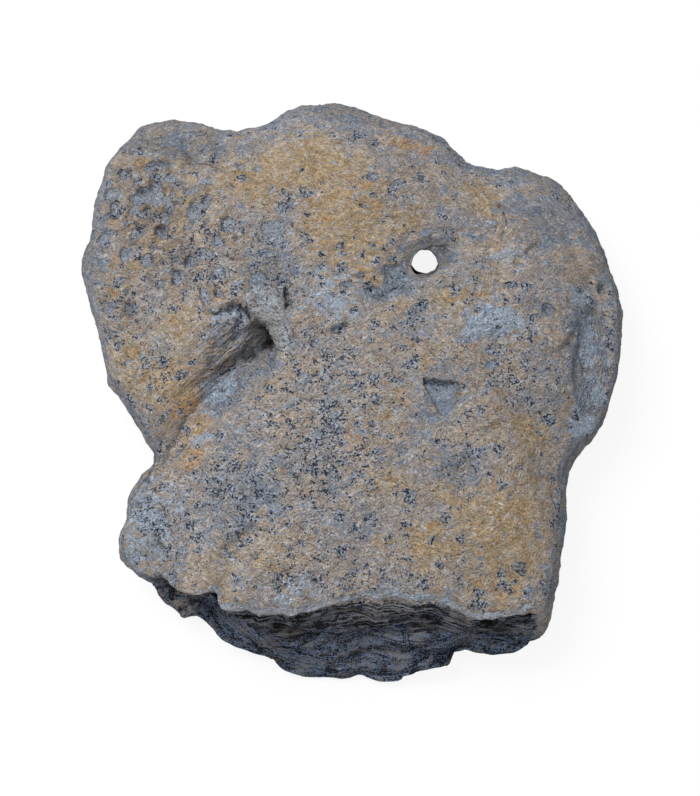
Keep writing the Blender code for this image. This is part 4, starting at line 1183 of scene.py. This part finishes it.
def bone_material(spots, flecks, lines, facets):
    """Weathered bone: tan, ochre and blue-grey mineral, fine lines, dark flecks and a dark broken face."""
    material = bpy.data.materials.new("fossil bone")
    material.use_nodes = True
    tree = material.node_tree
    at = Surface(tree, lines, facets)
    tone = with_mineral(tree, at, bone_tone(tree, at))
    tone = with_wear(tree, at, with_flecks(tree, at, tone, spots, flecks))
    bump = add(tree, "ShaderNodeBump", {"Height": fine_bumps(tree, at), "Strength": 1.0, "Distance": MM})
    feed(tree, tree.nodes["Principled BSDF"], {
        "Base Color": blend(tree, at.broken, tone, broken_tone(tree, at)),
        "Roughness": between(tree, at.grain, 0.3, 0.7, 0.7, 0.92),
        "Specular IOR Level": 0.3,
        "Normal": bump.outputs["Normal"],
    })
    return material


# ---------------------------------------------------------------- stage, light and camera

VIEW_ELEVATION = np.radians(68)
VIEW_DISTANCE = 0.52
VIEW_TARGET = Vector((-0.0002, -0.0076, 0.015))
LIGHT_TARGET = Vector((0, 0, 0.015))
FLOOR_GAP = 0.2 * MM         # the floor lies this far below the plate, so that the two never coincide
FRAME_PIXELS_HIGH = 796
PIXEL_SIZE = 0.26 * MM       # size of one pixel at the target
SENSOR = 36.0


def make_floor():
    """A pale plain floor. Seen directly it is mostly its own light, so that it stays evenly pale."""
    bpy.ops.mesh.primitive_plane_add(size=6.0, location=(0, 0, -FLOOR_GAP))
    floor = bpy.context.object
    floor.name = "floor"
    material = bpy.data.materials.new("pale floor")
    material.use_nodes = True
    tree = material.node_tree
    shader = tree.nodes["Principled BSDF"]
    feed(tree, shader, {"Base Color": (0.86, 0.86, 0.86, 1), "Roughness": 1.0, "Specular IOR Level": 0.0})
    glow = add(tree, "ShaderNodeEmission", {"Color": (1, 1, 1, 1), "Strength": 1.05})
    share = times(tree, add(tree, "ShaderNodeLightPath").outputs["Is Camera Ray"], 0.85)
    inputs = {0: share, 1: shader.outputs["BSDF"], 2: glow.outputs["Emission"]}
    mixed = add(tree, "ShaderNodeMixShader", inputs)
    feed(tree, tree.nodes["Material Output"], {"Surface": mixed.outputs["Shader"]})
    floor.data.materials.append(material)


def make_light(name, place, size, power):
    """A square soft light that faces the plate."""
    lamp = bpy.data.lights.new(name, "AREA")
    lamp.size = size
    lamp.energy = power
    holder = bpy.data.objects.new(name, lamp)
    holder.location = place
    holder.rotation_mode = "QUATERNION"
    holder.rotation_quaternion = (LIGHT_TARGET - Vector(place)).to_track_quat("-Z", "Y")
    bpy.context.scene.collection.objects.link(holder)


def make_sky(strength):
    """Even, slightly cool light from all round."""
    world = bpy.data.worlds.new("studio")
    world.use_nodes = True
    sky = world.node_tree.nodes["Background"]
    sky.inputs["Color"].default_value = (0.95, 0.97, 1.0, 1)
    sky.inputs["Strength"].default_value = strength
    bpy.context.scene.world = world


def make_camera():
    """Looks down on the plate from beyond its broken edge."""
    line = Vector((0, np.cos(VIEW_ELEVATION), -np.sin(VIEW_ELEVATION)))
    lens = bpy.data.cameras.new("view")
    lens.sensor_width = SENSOR
    lens.lens = SENSOR * VIEW_DISTANCE / (FRAME_PIXELS_HIGH * PIXEL_SIZE)
    camera = bpy.data.objects.new("view", lens)
    camera.location = VIEW_TARGET - VIEW_DISTANCE * line
    camera.rotation_mode = "QUATERNION"
    camera.rotation_quaternion = line.to_track_quat("-Z", "Y")
    bpy.context.scene.collection.objects.link(camera)
    bpy.context.scene.camera = camera


make_camera()
make_sky(0.43)
make_light("key light", place=(-0.27, 0.13, 0.62), size=0.4, power=3.5)
make_floor()
bpy.context.scene.view_settings.view_transform = "Standard"

scute = make_scute()
scute.data.materials.append(bone_material(spot_group(), fleck_group(), line_group(), facet_group()))
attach(scute, "root")
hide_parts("scute")
